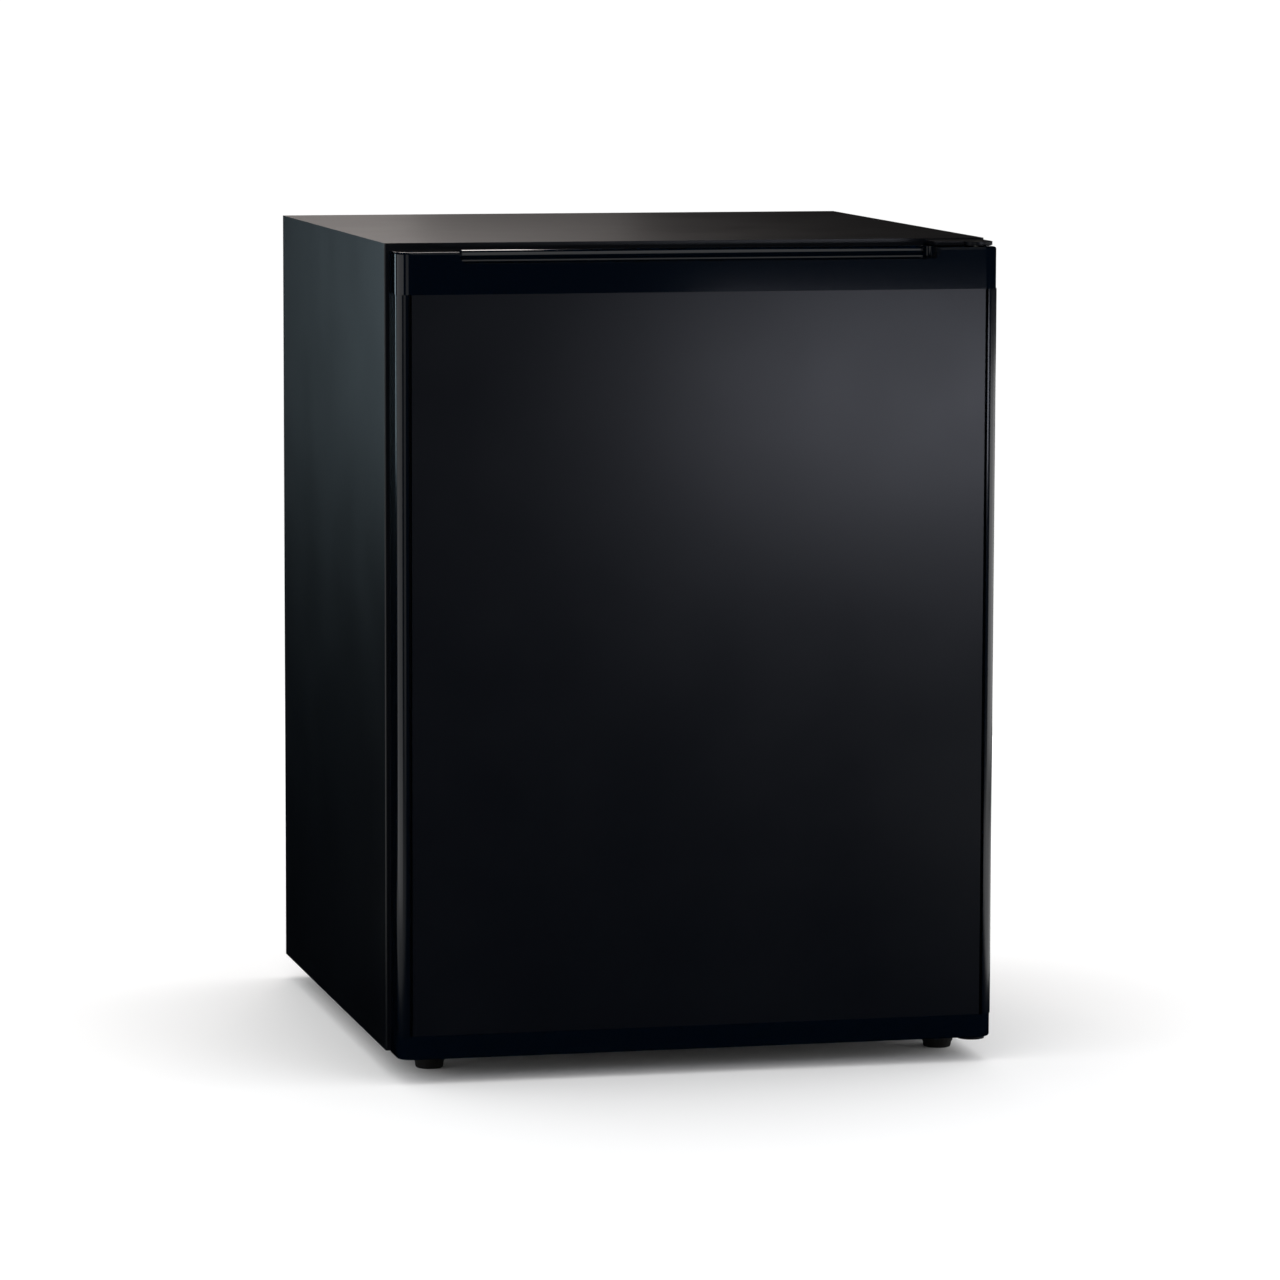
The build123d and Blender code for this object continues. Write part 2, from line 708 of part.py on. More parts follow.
def control_housing():
    """The moulded box on the ceiling that holds the thermostat and the lamp."""
    box = block((-housing_half, housing_half), (housing_front, housing_back),
                (housing_bottom, room_ceiling))
    box = fillet(box.edges().group_by(Axis.Z)[0], HOUSING_CORNER)
    box -= block((-housing_half + HOUSING_WALL, housing_half - HOUSING_WALL),
                 (housing_front + HOUSING_WALL, housing_back - HOUSING_WALL),
                 (housing_bottom + LENS_THICKNESS, room_ceiling))
    box -= lens_space()
    return box - rod_y(KNOB_FROM_MIDDLE, (housing_front, housing_front + HOUSING_WALL), knob_level,
                       KNOB_SHAFT_RADIUS + KNOB_SHAFT_FIT)


def lens_space():
    """The window of the lamp in the floor of the control housing."""
    left = LENS_FROM_MIDDLE - LENS_WIDTH / 2
    middle = (housing_front + housing_back) / 2
    return block((left, left + LENS_WIDTH), (middle - LENS_DEPTH / 2, middle + LENS_DEPTH / 2),
                 (housing_bottom, housing_bottom + LENS_THICKNESS))


def lamp_board():
    """The small lamp board, which lies on the floor of the housing above the lens."""
    left = LENS_FROM_MIDDLE - LENS_WIDTH / 2 - LAMP_BOARD_MARGIN
    middle = (housing_front + housing_back) / 2
    reach = LENS_DEPTH / 2 + LAMP_BOARD_MARGIN
    bottom = housing_bottom + LENS_THICKNESS
    return block((left, left + LENS_WIDTH + 2 * LAMP_BOARD_MARGIN), (middle - reach, middle + reach),
                 (bottom, bottom + LAMP_BOARD))


def thermostat_body():
    """The thermostat behind the front wall of the housing, with its shaft."""
    inner = housing_front + HOUSING_WALL
    half = THERMOSTAT_WIDTH / 2
    body = block((KNOB_FROM_MIDDLE - half, KNOB_FROM_MIDDLE + half), (inner, inner + THERMOSTAT_DEPTH),
                 (housing_bottom + LENS_THICKNESS, room_ceiling - HOUSING_WALL))
    tip = housing_front - KNOB_GAP - KNOB_SHAFT_LENGTH
    return body + rod_y(KNOB_FROM_MIDDLE, (tip, inner), knob_level, KNOB_SHAFT_RADIUS)


def thermostat_knob():
    """The fluted knob on the thermostat's shaft, with a pointer slot in its face."""
    back = housing_front - KNOB_GAP
    front = back - KNOB_LENGTH
    knob = rod_y(KNOB_FROM_MIDDLE, (front, back), knob_level, KNOB_RADIUS)
    knob = fillet(knob.edges().filter_by(GeomType.CIRCLE).group_by(Axis.Y)[0], KNOB_FLUTE_RADIUS)
    for index in range(KNOB_FLUTES):
        flute = Pos(KNOB_RADIUS, 0, 0) * Cylinder(KNOB_FLUTE_RADIUS, KNOB_LENGTH)
        turned = Rot(90, 0, 0) * Rot(0, 0, 360 * index / KNOB_FLUTES) * flute
        knob -= Pos(KNOB_FROM_MIDDLE, (front + back) / 2, knob_level) * turned
    shaft = KNOB_SHAFT_RADIUS + KNOB_SHAFT_FIT
    knob -= rod_y(KNOB_FROM_MIDDLE, (back - KNOB_SHAFT_LENGTH, back), knob_level, shaft)
    return knob - block((KNOB_FROM_MIDDLE - KNOB_FLUTE_RADIUS, KNOB_FROM_MIDDLE + KNOB_FLUTE_RADIUS),
                        (front, front + KNOB_FLUTE_RADIUS),
                        (knob_level + KNOB_SHAFT_RADIUS, knob_level + KNOB_RADIUS))


def switch_space():
    """The space of the door switch in the foam behind the liner's lip."""
    half = SWITCH_WIDTH / 2
    front = flange_back + LINER_WALL
    bottom = room_ceiling + LINER_WALL
    return block((PLUNGER_FROM_MIDDLE - half, PLUNGER_FROM_MIDDLE + half),
                 (front, front + SWITCH_DEPTH), (bottom, bottom + SWITCH_HEIGHT))


def plunger_hole():
    """The hole in the liner's lip that guides the plunger."""
    return rod_y(PLUNGER_FROM_MIDDLE, (flange_back, flange_back + LINER_WALL), plunger_level,
                 PLUNGER_RADIUS + PLUNGER_FIT)


def switch_housing():
    """The housing of the door switch, with the bore that the plunger runs in."""
    front = flange_back + LINER_WALL
    bore = (front, front + SWITCH_DEPTH - SWITCH_WALL)
    return switch_space() - rod_y(PLUNGER_FROM_MIDDLE, bore, plunger_level, PLUNGER_RADIUS + PLUNGER_FIT)


def switch_plunger():
    """The plunger, pressed in by the closed door."""
    tip = door_back + PLUNGER_GAP
    tail = flange_back + LINER_WALL + PLUNGER_TRAVEL + PLUNGER_HEAD
    plunger = rod_y(PLUNGER_FROM_MIDDLE, (tip, tail), plunger_level, PLUNGER_RADIUS)
    return fillet(plunger.edges().filter_by(GeomType.CIRCLE).group_by(Axis.Y)[0], PLUNGER_RADIUS / 2)


# Cooling unit in the rear bay

def boiler_jacket():
    """The sheet jacket round the boiler, with holes for the tubes."""
    x = (jacket_left, jacket_right)
    z = (jacket_bottom, jacket_top)
    jacket = block(x, (bay_front, jacket_back), z)
    corners = jacket.edges().filter_by(Axis.Z).group_by(Axis.Y)[-1]
    jacket = fillet(corners, BOILER_JACKET_CORNER) - boiler_inside()
    jacket -= rod_z(boiler_x, unit_y, (jacket_top - BOILER_JACKET_WALL, jacket_top), BOILER_RADIUS)
    floor = (jacket_bottom, jacket_bottom + BOILER_JACKET_WALL)
    jacket -= rod_z(boiler_x, unit_y, floor, LIQUID_TUBE_RADIUS)
    return jacket - rod_z(heater_x, unit_y, floor, HEATER_RADIUS)


def boiler_inside():
    """The space inside the jacket."""
    wall = BOILER_JACKET_WALL
    space = block((jacket_left + wall, jacket_right - wall), (bay_front + wall, jacket_back - wall),
                  (jacket_bottom + wall, jacket_top - wall))
    return fillet(space.edges().filter_by(Axis.Z).group_by(Axis.Y)[-1], BOILER_JACKET_CORNER - wall)


def boiler_outside():
    """The outline of the upright boiler, which leaves the jacket at the top."""
    return rod_z(boiler_x, unit_y, (boiler_bottom, riser_top), BOILER_RADIUS)


def boiler_tube():
    """The boiler as a closed tube, with holes at its ends for the tubes that join it."""
    low = boiler_bottom + TUBE_WALL
    high = riser_top - TUBE_WALL
    shape = boiler_outside() - rod_z(boiler_x, unit_y, (low, high), BOILER_RADIUS - TUBE_WALL)
    shape -= rod_z(boiler_x, unit_y, (boiler_bottom, low), LIQUID_TUBE_RADIUS - TUBE_WALL)
    return shape - rod_z(boiler_x, unit_y, (high, riser_top), CONDENSER_RADIUS - TUBE_WALL)


def boiler_insulation():
    """The mineral wool that packs the jacket round the boiler and its heater."""
    foot = rod_z(boiler_x, unit_y, (jacket_bottom, boiler_bottom), LIQUID_TUBE_RADIUS)
    return boiler_inside() - boiler_outside() - heating_element() - foot


def heating_element():
    """The heater cartridge beside the boiler."""
    level = (jacket_bottom - HEATER_RADIUS, jacket_bottom + HEATER_LENGTH)
    return rod_z(heater_x, unit_y, level, HEATER_RADIUS)


def condenser_tube():
    """The tube from the boiler, across under the top and down to the evaporator."""
    x = evaporator_tube_half
    points = [(boiler_x, unit_y, riser_top), (boiler_x, unit_y, condenser_level),
              (x, unit_y, condenser_level), (x, unit_y, evaporator_middle + EVAPORATOR_TUBE_LEG)]
    return bent_tube(points, CONDENSER_BEND, CONDENSER_RADIUS, TUBE_WALL)


def condenser_fins():
    """The stack of square fins on the condenser."""
    reach = CONDENSER_FIN_SIDE / 2
    first = (boiler_x + evaporator_tube_half - CONDENSER_FIN_PITCH * (CONDENSER_FIN_COUNT - 1)) / 2
    fins = []
    for index in range(CONDENSER_FIN_COUNT):
        left = first + CONDENSER_FIN_PITCH * index
        span = (left, left + CONDENSER_FIN)
        level = (condenser_level - reach, condenser_level + reach)
        fin = block(span, (unit_y - reach, unit_y + reach), level)
        fins.append(fin - rod_x(span, unit_y, condenser_level, CONDENSER_RADIUS + FIN_FIT))
    return all_of(fins)


def evaporator_route():
    """The route of the cold tube: into the foam, along the evaporator's boss and out again."""
    half = evaporator_tube_half
    z = evaporator_middle
    return [(half, unit_y, z + EVAPORATOR_TUBE_LEG), (half, unit_y, z), (half, evaporator_tube_y, z),
            (-half, evaporator_tube_y, z), (-half, unit_y, z), (-half, unit_y, z - EVAPORATOR_TUBE_LEG)]


def evaporator_tube():
    """The cold tube on its route."""
    return bent_tube(evaporator_route(), EVAPORATOR_TUBE_BEND, EVAPORATOR_TUBE_RADIUS, TUBE_WALL)


def absorber_coil():
    """The flat serpentine that runs down from the evaporator to the vessel."""
    left = -COIL_LEFT
    start = -evaporator_tube_half
    points = [(start, evaporator_middle - EVAPORATOR_TUBE_LEG), (start, coil_levels[-1])]
    side = COIL_RIGHT
    for level in reversed(coil_levels[1:]):
        points.append((side, level))
        points.append((side, level - coil_pitch))
        side = left + COIL_RIGHT - side
    points = points + [(COIL_TAIL, coil_levels[0]), (COIL_TAIL, stub_top)]
    route = [(x, unit_y, z) for x, z in points]
    return bent_tube(route, coil_pitch / 2 - COIL_BEND_SPARE, COIL_RADIUS, TUBE_WALL)


def absorber_vessel():
    """The lying tank that the coil drains into, with the stub that the coil stands on."""
    tank = rod_x((-VESSEL_LEFT, VESSEL_RIGHT), unit_y, vessel_level, VESSEL_RADIUS)
    tank = fillet(tank.edges().filter_by(GeomType.CIRCLE), VESSEL_END_RADIUS)
    tank += rod_z(COIL_TAIL, unit_y, (vessel_level, stub_top), COIL_RADIUS)
    wall = TUBE_WALL
    inner = rod_x((-VESSEL_LEFT + wall, VESSEL_RIGHT - wall), unit_y, vessel_level, VESSEL_RADIUS - wall)
    tank -= fillet(inner.edges().filter_by(GeomType.CIRCLE), VESSEL_END_RADIUS - wall)
    return tank - rod_z(COIL_TAIL, unit_y, (vessel_level, stub_top), COIL_RADIUS - wall)


def liquid_tube():
    """The tube from the vessel back to the foot of the boiler."""
    z = vessel_level - LIQUID_TUBE_DROP
    points = [(-VESSEL_LEFT, unit_y, z), (boiler_x, unit_y, z), (boiler_x, unit_y, boiler_bottom)]
    return bent_tube(points, LIQUID_TUBE_BEND, LIQUID_TUBE_RADIUS, TUBE_WALL)


def vessel_saddles():
    """The two upright saddles that carry the vessel on the base pan."""
    saddles = []
    for x in (SADDLE_FIRST, SADDLE_SECOND):
        span = (x, x + SADDLE_SHEET)
        reach = (unit_y - SADDLE_WIDTH / 2, unit_y + SADDLE_WIDTH / 2)
        plate = block(span, reach, (base_inner, vessel_level))
        saddles.append(plate - rod_x(span, unit_y, vessel_level, VESSEL_RADIUS + FIN_FIT))
    return all_of(saddles)


def bracket_screw_places():
    """The screws of the two coil brackets, as pairs of X and Z."""
    x_places = [x + BRACKET_SHEET + BRACKET_FOOT / 2 for x in (BRACKET_FIRST, BRACKET_SECOND)]
    z_places = [(coil_levels[0] + coil_levels[1]) / 2, (coil_levels[-2] + coil_levels[-1]) / 2]
    return [(x, z) for x in x_places for z in z_places]


def coil_brackets():
    """The two combs on the back sheet that the coil lies in."""
    level = (coil_levels[0] - BRACKET_MARGIN, coil_levels[-1] + BRACKET_MARGIN)
    combs = []
    for x in (BRACKET_FIRST, BRACKET_SECOND):
        span = (x, x + BRACKET_SHEET)
        comb = block(span, (bay_front, unit_y), level)
        comb += block((x, x + BRACKET_SHEET + BRACKET_FOOT), (bay_front, bay_front + BRACKET_SHEET), level)
        for z in coil_levels:
            comb -= rod_x(span, unit_y, z, COIL_RADIUS + FIN_FIT)
        for place_x, z in bracket_screw_places():
            comb -= rod_y(place_x, (bay_front, bay_front + BRACKET_SHEET), z, SCREW_RADIUS)
        combs.append(comb)
    return all_of(combs)


def unit_screws():
    """The screws that hold the coil brackets to the back sheet."""
    face = bay_front + BRACKET_SHEET
    screws = []
    for x, z in bracket_screw_places():
        screw = rod_y(x, (bay_front - SCREW_LENGTH, face), z, SCREW_RADIUS)
        screws.append(screw + rod_y(x, (face, face + SCREW_HEAD_HEIGHT), z, SCREW_HEAD_RADIUS))
    return all_of(screws)


def evaporation_dish():
    """The open dish on the warm vessel, where the melt water dries off."""
    reach = DISH_DEPTH / 2
    dish = block((-DISH_LEFT, DISH_RIGHT), (unit_y - reach, unit_y + reach),
                 (dish_bottom, dish_bottom + DISH_HEIGHT))
    dish = round_along(dish, Axis.Z, 2 * DISH_WALL)
    dish -= block((-DISH_LEFT + DISH_WALL, DISH_RIGHT - DISH_WALL),
                  (unit_y - reach + DISH_WALL, unit_y + reach - DISH_WALL),
                  (dish_bottom + DISH_WALL, dish_bottom + DISH_HEIGHT))
    for x in (-DISH_LEFT / 2, DISH_RIGHT / 2):
        dish += block((x, x + SADDLE_SHEET), (unit_y - reach / 2, unit_y + reach / 2),
                      (vessel_level + VESSEL_RADIUS / 2, dish_bottom))
    return dish - rod_x((-DISH_LEFT, DISH_RIGHT), unit_y, vessel_level, VESSEL_RADIUS + FIN_FIT)


# Electronics in the rear bay

def electronics_box():
    """The moulded box on the back sheet, open to the rear, with posts for its board."""
    x = (electronics_left, electronics_right)
    z = (electronics_bottom, electronics_top)
    wall = ELECTRONICS_WALL
    box = block(x, (bay_front, electronics_back), z)
    box -= block((x[0] + wall, x[1] - wall), (bay_front + wall, electronics_back),
                 (z[0] + wall, z[1] - wall))
    for post_x in (x[0] + 2 * BOARD_MARGIN, x[1] - 2 * BOARD_MARGIN):
        for post_z in (z[0] + 2 * BOARD_MARGIN, z[1] - 2 * BOARD_MARGIN):
            box += rod_y(post_x, (bay_front, bay_front + wall + BOARD_POST), post_z, BOARD_POST_RADIUS)
    return box


def circuit_board():
    """The control board on its posts."""
    front = bay_front + ELECTRONICS_WALL + BOARD_POST
    return block((electronics_left + BOARD_MARGIN, electronics_right - BOARD_MARGIN),
                 (front, front + BOARD_THICKNESS),
                 (electronics_bottom + BOARD_MARGIN, electronics_top - BOARD_MARGIN))


def inlet_space():
    """The body of the mains inlet, behind its rim."""
    x = (electronics_left + electronics_right) / 2
    z = electronics_bottom + INLET_RISE
    half = INLET_WIDTH / 2
    tall = INLET_HEIGHT / 2
    face = electronics_back + COVER_THICKNESS
    return block((x - half, x + half), (face - INLET_DEPTH, face), (z - tall, z + tall))


def electronics_cover():
    """The flat cover of the electronics box, with the cut-out of the inlet."""
    depth = (electronics_back, electronics_back + COVER_THICKNESS)
    cover = block((electronics_left, electronics_right), depth, (electronics_bottom, electronics_top))
    return round_along(cover, Axis.Y, ELECTRONICS_WALL) - inlet_space()


def mains_inlet():
    """The recessed appliance inlet: a rim, a socket and three pins."""
    x = (electronics_left + electronics_right) / 2
    z = electronics_bottom + INLET_RISE
    face = electronics_back + COVER_THICKNESS
    half = INLET_WIDTH / 2 + INLET_RIM
    tall = INLET_HEIGHT / 2 + INLET_RIM
    rim = block((x - half, x + half), (face, face + INLET_RIM_DEPTH), (z - tall, z + tall))
    inlet = inlet_space() + round_along(rim, Axis.Y, INLET_RIM)
    outer = face + INLET_RIM_DEPTH
    margin = INLET_SOCKET_MARGIN
    socket = block((x - INLET_WIDTH / 2 + margin, x + INLET_WIDTH / 2 - margin),
                   (outer - INLET_SOCKET_DEPTH, outer),
                   (z - INLET_HEIGHT / 2 + margin, z + INLET_HEIGHT / 2 - margin))
    inlet -= socket
    for step in (-1, 0, 1):
        pin_x = x + step * INLET_PIN_SPACING
        inlet += rod_y(pin_x, (outer - INLET_SOCKET_DEPTH, face), z, INLET_PIN_RADIUS)
    return inlet


def heater_lead():
    """The lead from the electronics box, along the base pan, to the boiler jacket."""
    y = bay_front + LEAD_STAND_OFF
    x = (electronics_left + electronics_right) / 2
    end = boiler_x + LEAD_FROM_BOILER
    z = base_inner + LEAD_RADIUS
    points = [(x, y, electronics_bottom), (x, y, z), (end, y, z), (end, y, jacket_bottom)]
    return bent_rod(points, LEAD_BEND, LEAD_RADIUS)


# Door

def cap_block(z, inset=0):
    """The outline of a door cap between two levels, moved in all round by an amount."""
    half = cap_half - inset
    cap = block((-half, half), (door_front + inset, door_back - inset), z)
    edges = cap.edges().filter_by(Axis.Z).group_by(Axis.Y)
    cap = fillet(edges[0], CAP_FRONT_RADIUS - inset)
    edges = cap.edges().filter_by(Axis.Z).group_by(Axis.Y)
    return fillet(edges[-1], CAP_REAR_RADIUS - inset)


def bush_boss(z):
    """The post in a hollow cap that holds the hinge bush."""
    return rod_z(hinge_x, hinge_y, z, bush_radius + CAP_WALL)


def recess_space():
    """The finger recess: a channel with a rounded back edge, behind a lowered front lip."""
    front = door_front + RECESS_FRONT_WALL
    back = front + RECESS_WIDTH
    floor = door_top - RECESS_DEPTH
    half = RECESS_LENGTH / 2
    channel = block((-half, half), (front, back), (floor, door_top))
    channel = round_along(channel, Axis.Z, RECESS_END_RADIUS)
    channel = fillet(channel.edges().group_by(Axis.Z)[0], RECESS_FRONT_WALL)
    lip_level = (door_top - RECESS_LIP_DROP, door_top)
    lip = block((-half, half), (door_front, front + RECESS_WIDTH / 2), lip_level)
    lip = fillet(lip.edges().filter_by(Axis.Y).group_by(Axis.Z)[0], RECESS_END_RADIUS)
    radius = RECESS_BACK_RADIUS
    straight = (-half + RECESS_END_RADIUS, half - RECESS_END_RADIUS)
    flare = block(straight, (back, back + radius), (door_top - radius, door_top))
    flare -= rod_x(straight, back + radius, door_top - radius, radius)
    return channel + lip + flare


def door_top_cap():
    """The moulded top cap with the finger recess and the seat of the hinge bush."""
    cap = cap_block((panel_top, door_top))
    cap = fillet(cap.edges().group_by(Axis.Z)[-1], CAP_EDGE_RADIUS)
    hollow = (panel_top, door_top - CAP_WALL)
    solid_half = RECESS_LENGTH / 2 + CAP_WALL
    ends = cap_block(hollow, CAP_WALL) - block((-solid_half, solid_half), (door_front, door_back), hollow)
    cap = cap - recess_space() - (ends - bush_boss(hollow))
    return cap - rod_z(hinge_x, hinge_y, (door_top - BUSH_LENGTH, door_top), bush_radius)


def door_bottom_cap():
    """The moulded bottom cap with the seat of the lower bush."""
    cap = cap_block((door_bottom, panel_bottom))
    cap = fillet(cap.edges().group_by(Axis.Z)[0], CAP_EDGE_RADIUS)
    hollow = (door_bottom + CAP_WALL, panel_bottom)
    cap -= cap_block(hollow, CAP_WALL) - bush_boss(hollow)
    return cap - rod_z(hinge_x, hinge_y, (door_bottom, door_bottom + BUSH_LENGTH), bush_radius)


def door_rail(side):
    """A side rail: a rounded outer bar with a front ledge under the panel and a rear flange."""
    level = (panel_bottom, panel_top)

    def span(low, high):
        return sorted((side * low, side * high))

    bar = block(span(rail_inner, rail_half), (panel_face, door_back), level)
    corners = bar.edges().filter_by(Axis.Z).group_by(Axis.Y)
    outer_front = corners[0].sort_by(Axis.X)[-1 if side > 0 else 0]
    outer_back = corners[-1].sort_by(Axis.X)[-1 if side > 0 else 0]
    bar = fillet([outer_front, outer_back], RAIL_RADIUS)
    ledge = block(span(liner_half, rail_inner), (panel_back, panel_back + GROOVE_DEPTH + RAIL_WALL), level)
    depth = (panel_back, panel_back + GROOVE_DEPTH)
    groove = block(span(panel_half - GROOVE_WIDTH, rail_inner), depth, level)
    flange = block(span(liner_half, rail_inner), (door_back - RAIL_WALL, door_back), level)
    return bar + (ledge - groove) + flange


def door_front_panel():
    """The flat painted sheet that fills the front between the rails and the caps."""
    return block((-panel_half, panel_half), (panel_face, panel_back), (panel_bottom, panel_top))


def dyke_ring(shrink, y):
    """The ring of dykes on the door liner, with its walls moved in by an amount."""
    outer = dyke_outer - shrink
    inner = dyke_inner + shrink
    ring = block((-outer, outer), y, (dyke_bottom + shrink, dyke_top - shrink))
    hole = block((-inner, inner), y, (dyke_bottom + DYKE_WIDTH - shrink, dyke_top - DYKE_WIDTH + shrink))
    return ring - hole


def peg_middle():
    """Where the bin pegs stand, front to back."""
    return door_back + DYKE_DEPTH / 2


def bin_pegs(bin_top):
    """The two pegs on the dykes that one bin hangs on."""
    top = bin_top - PEG_DROP
    y = (peg_middle() - PEG_DEPTH / 2, peg_middle() + PEG_DEPTH / 2)
    spans = mirrored(dyke_inner - PEG_LENGTH, dyke_inner)
    return [block(span, y, (top - PEG_HEIGHT, top)) for span in spans]


def door_inner_liner():
    """The moulded inner skin of the door, with hollow dykes and pegs for the bins."""
    skin = block((-liner_half, liner_half), (door_back - RAIL_WALL, door_back), (panel_bottom, panel_top))
    ring = dyke_ring(0, (door_back - RAIL_WALL, dyke_back))
    rim = ring.edges().group_by(Axis.Y)[-1]
    skin += fillet(rim, DYKE_RADIUS)
    skin -= dyke_ring(LINER_WALL, (door_back - RAIL_WALL, dyke_back - LINER_WALL))
    for bin_top in (lower_bin_top, upper_bin_top):
        for peg in bin_pegs(bin_top):
            skin += peg
    return skin


def door_foam():
    """The rigid foam in the door, also in the hollow dykes."""
    foam = block((-rail_inner, rail_inner), (panel_back, door_back - RAIL_WALL), (panel_bottom, panel_top))
    foam += dyke_ring(LINER_WALL, (door_back - RAIL_WALL, dyke_back - LINER_WALL))
    for side in (-1, 1):
        foam -= door_rail(side)
        groove = sorted((side * (panel_half - GROOVE_WIDTH), side * rail_inner))
        foam -= block(groove, (panel_back, panel_back + GROOVE_DEPTH), (panel_bottom, panel_top))
    return foam


def gasket_ring(inset, width, y):
    """A ring that follows the gasket's place, inset from its outer edge."""
    half = half_width - GASKET_INSET - inset
    z = (base_level + GASKET_INSET + inset, top_level - GASKET_INSET - inset)
    return frame_ring(half, y, z, width)


def door_gasket():
    """The soft seal round the door, with the channel of its magnet strips."""
    y = (door_back, cabinet_front - GASKET_GAP)
    seal = gasket_ring(0, GASKET_WIDTH, y)
    edge = (GASKET_WIDTH - MAGNET_WIDTH) / 2
    top = y[1] - GASKET_WALL
    return seal - gasket_ring(edge, MAGNET_WIDTH, (top - MAGNET_THICKNESS, top))


def gasket_magnets():
    """The magnet strips in the gasket, one along each side."""
    top = cabinet_front - GASKET_GAP - GASKET_WALL
    y = (top - MAGNET_THICKNESS, top)
    edge = (GASKET_WIDTH - MAGNET_WIDTH) / 2
    half = half_width - GASKET_INSET - edge
    z = (base_level + GASKET_INSET + edge, top_level - GASKET_INSET - edge)
    strips = [block(span, y, z) for span in mirrored(half - MAGNET_WIDTH, half)]
    across = (-half + MAGNET_WIDTH + MAGNET_GAP, half - MAGNET_WIDTH - MAGNET_GAP)
    strips.append(block(across, y, (z[0], z[0] + MAGNET_WIDTH)))
    strips.append(block(across, y, (z[1] - MAGNET_WIDTH, z[1])))
    return all_of(strips)


def door_bin(bottom, top):
    """An open bin that hangs on two pegs by the sockets at its ends."""
    half = dyke_inner - PEG_LENGTH - BIN_CLEARANCE
    front = door_back + BIN_CLEARANCE
    back = front + BIN_DEPTH
    shape = round_along(block((-half, half), (front, back), (bottom, top)), Axis.Z, 3 * BIN_WALL)
    shape -= round_along(block((-half + BIN_WALL, half - BIN_WALL), (front + BIN_WALL, back - BIN_WALL),
                               (bottom + BIN_WALL, top)), Axis.Z, 2 * BIN_WALL)
    middle = peg_middle()
    reach = PEG_DEPTH / 2 + BIN_CLEARANCE
    peg_top = top - PEG_DROP
    for span in mirrored(half - BIN_WALL / 2, dyke_inner - BIN_CLEARANCE):
        socket = block(span, (middle - reach - SOCKET_WALL, middle + reach + SOCKET_WALL),
                       (peg_top - PEG_HEIGHT, top))
        slot = block(mirrored(half, dyke_inner)[0 if span[0] < 0 else 1], (middle - reach, middle + reach),
                     (peg_top - PEG_HEIGHT, peg_top))
        shape += socket - slot
    return shape


# Write every piece to its own file

pieces = {
    "left_side_panel": side_panel(-1),
    "right_side_panel": side_panel(1),
    "top_panel": top_panel(),
    "base_pan": base_pan(),
    "back_sheet": back_sheet(),
    "cabinet_foam": cabinet_foam(),
    "inner_liner": inner_liner(),
    "top_hinge_plate": top_hinge_plate(),
    "top_hinge_pin": top_hinge_pin(),
    "bottom_hinge_plate": bottom_hinge_plate(),
    "bottom_hinge_pin": bottom_hinge_pin(),
    "hinge_screws": hinge_screws(),
    "hinge_bushes": hinge_bushes(),
    "front_foot_left": front_foot(-foot_x, base_level),
    "front_foot_right": front_foot(hinge_foot_x, base_level - HINGE_PLATE),
    "foot_nuts": foot_nuts(),
    "rear_feet": rear_feet(),
    "lower_shelf": wire_shelf(lower_shelf_level),
    "upper_shelf": wire_shelf(upper_shelf_level),
    "evaporator_block": evaporator_block(),
    "drip_tray": drip_tray(),
    "drain_tube": drain_tube(),
    "control_housing": control_housing(),
    "lamp_lens": lens_space(),
    "lamp_board": lamp_board(),
    "thermostat_body": thermostat_body(),
    "thermostat_knob": thermostat_knob(),
    "switch_housing": switch_housing(),
    "switch_plunger": switch_plunger(),
    "boiler_jacket": boiler_jacket(),
    "boiler_insulation": boiler_insulation(),
    "boiler_tube": boiler_tube(),
    "heating_element": heating_element(),
    "condenser_tube": condenser_tube(),
    "condenser_fins": condenser_fins(),
    "evaporator_tube": evaporator_tube(),
    "absorber_coil": absorber_coil(),
    "absorber_vessel": absorber_vessel(),
    "liquid_tube": liquid_tube(),
    "vessel_saddles": vessel_saddles(),
    "coil_brackets": coil_brackets(),
    "unit_screws": unit_screws(),
    "evaporation_dish": evaporation_dish(),
    "electronics_box": electronics_box(),
    "electronics_cover": electronics_cover(),
    "circuit_board": circuit_board(),
    "mains_inlet": mains_inlet(),
    "heater_lead": heater_lead(),
    "door_front_panel": door_front_panel(),
    "door_rail_left": door_rail(-1),
    "door_rail_right": door_rail(1),
    "door_top_cap": door_top_cap(),
    "door_bottom_cap": door_bottom_cap(),
    "door_foam": door_foam(),
    "door_inner_liner": door_inner_liner(),
    "door_gasket": door_gasket(),
    "gasket_magnets": gasket_magnets(),
    "lower_bin": door_bin(lower_bin_bottom, lower_bin_top),
    "upper_bin": door_bin(upper_bin_bottom, upper_bin_top),
}

os.makedirs("parts", exist_ok=True)
for name, piece in pieces.items():
    export_step(piece, f"parts/{name}.step")
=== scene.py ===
"""Looks of the mini fridge: finishes for its CAD pieces, small detail pieces, studio light and camera."""
import math

import bmesh
import bpy
import numpy as np
from mathutils import Matrix, Vector


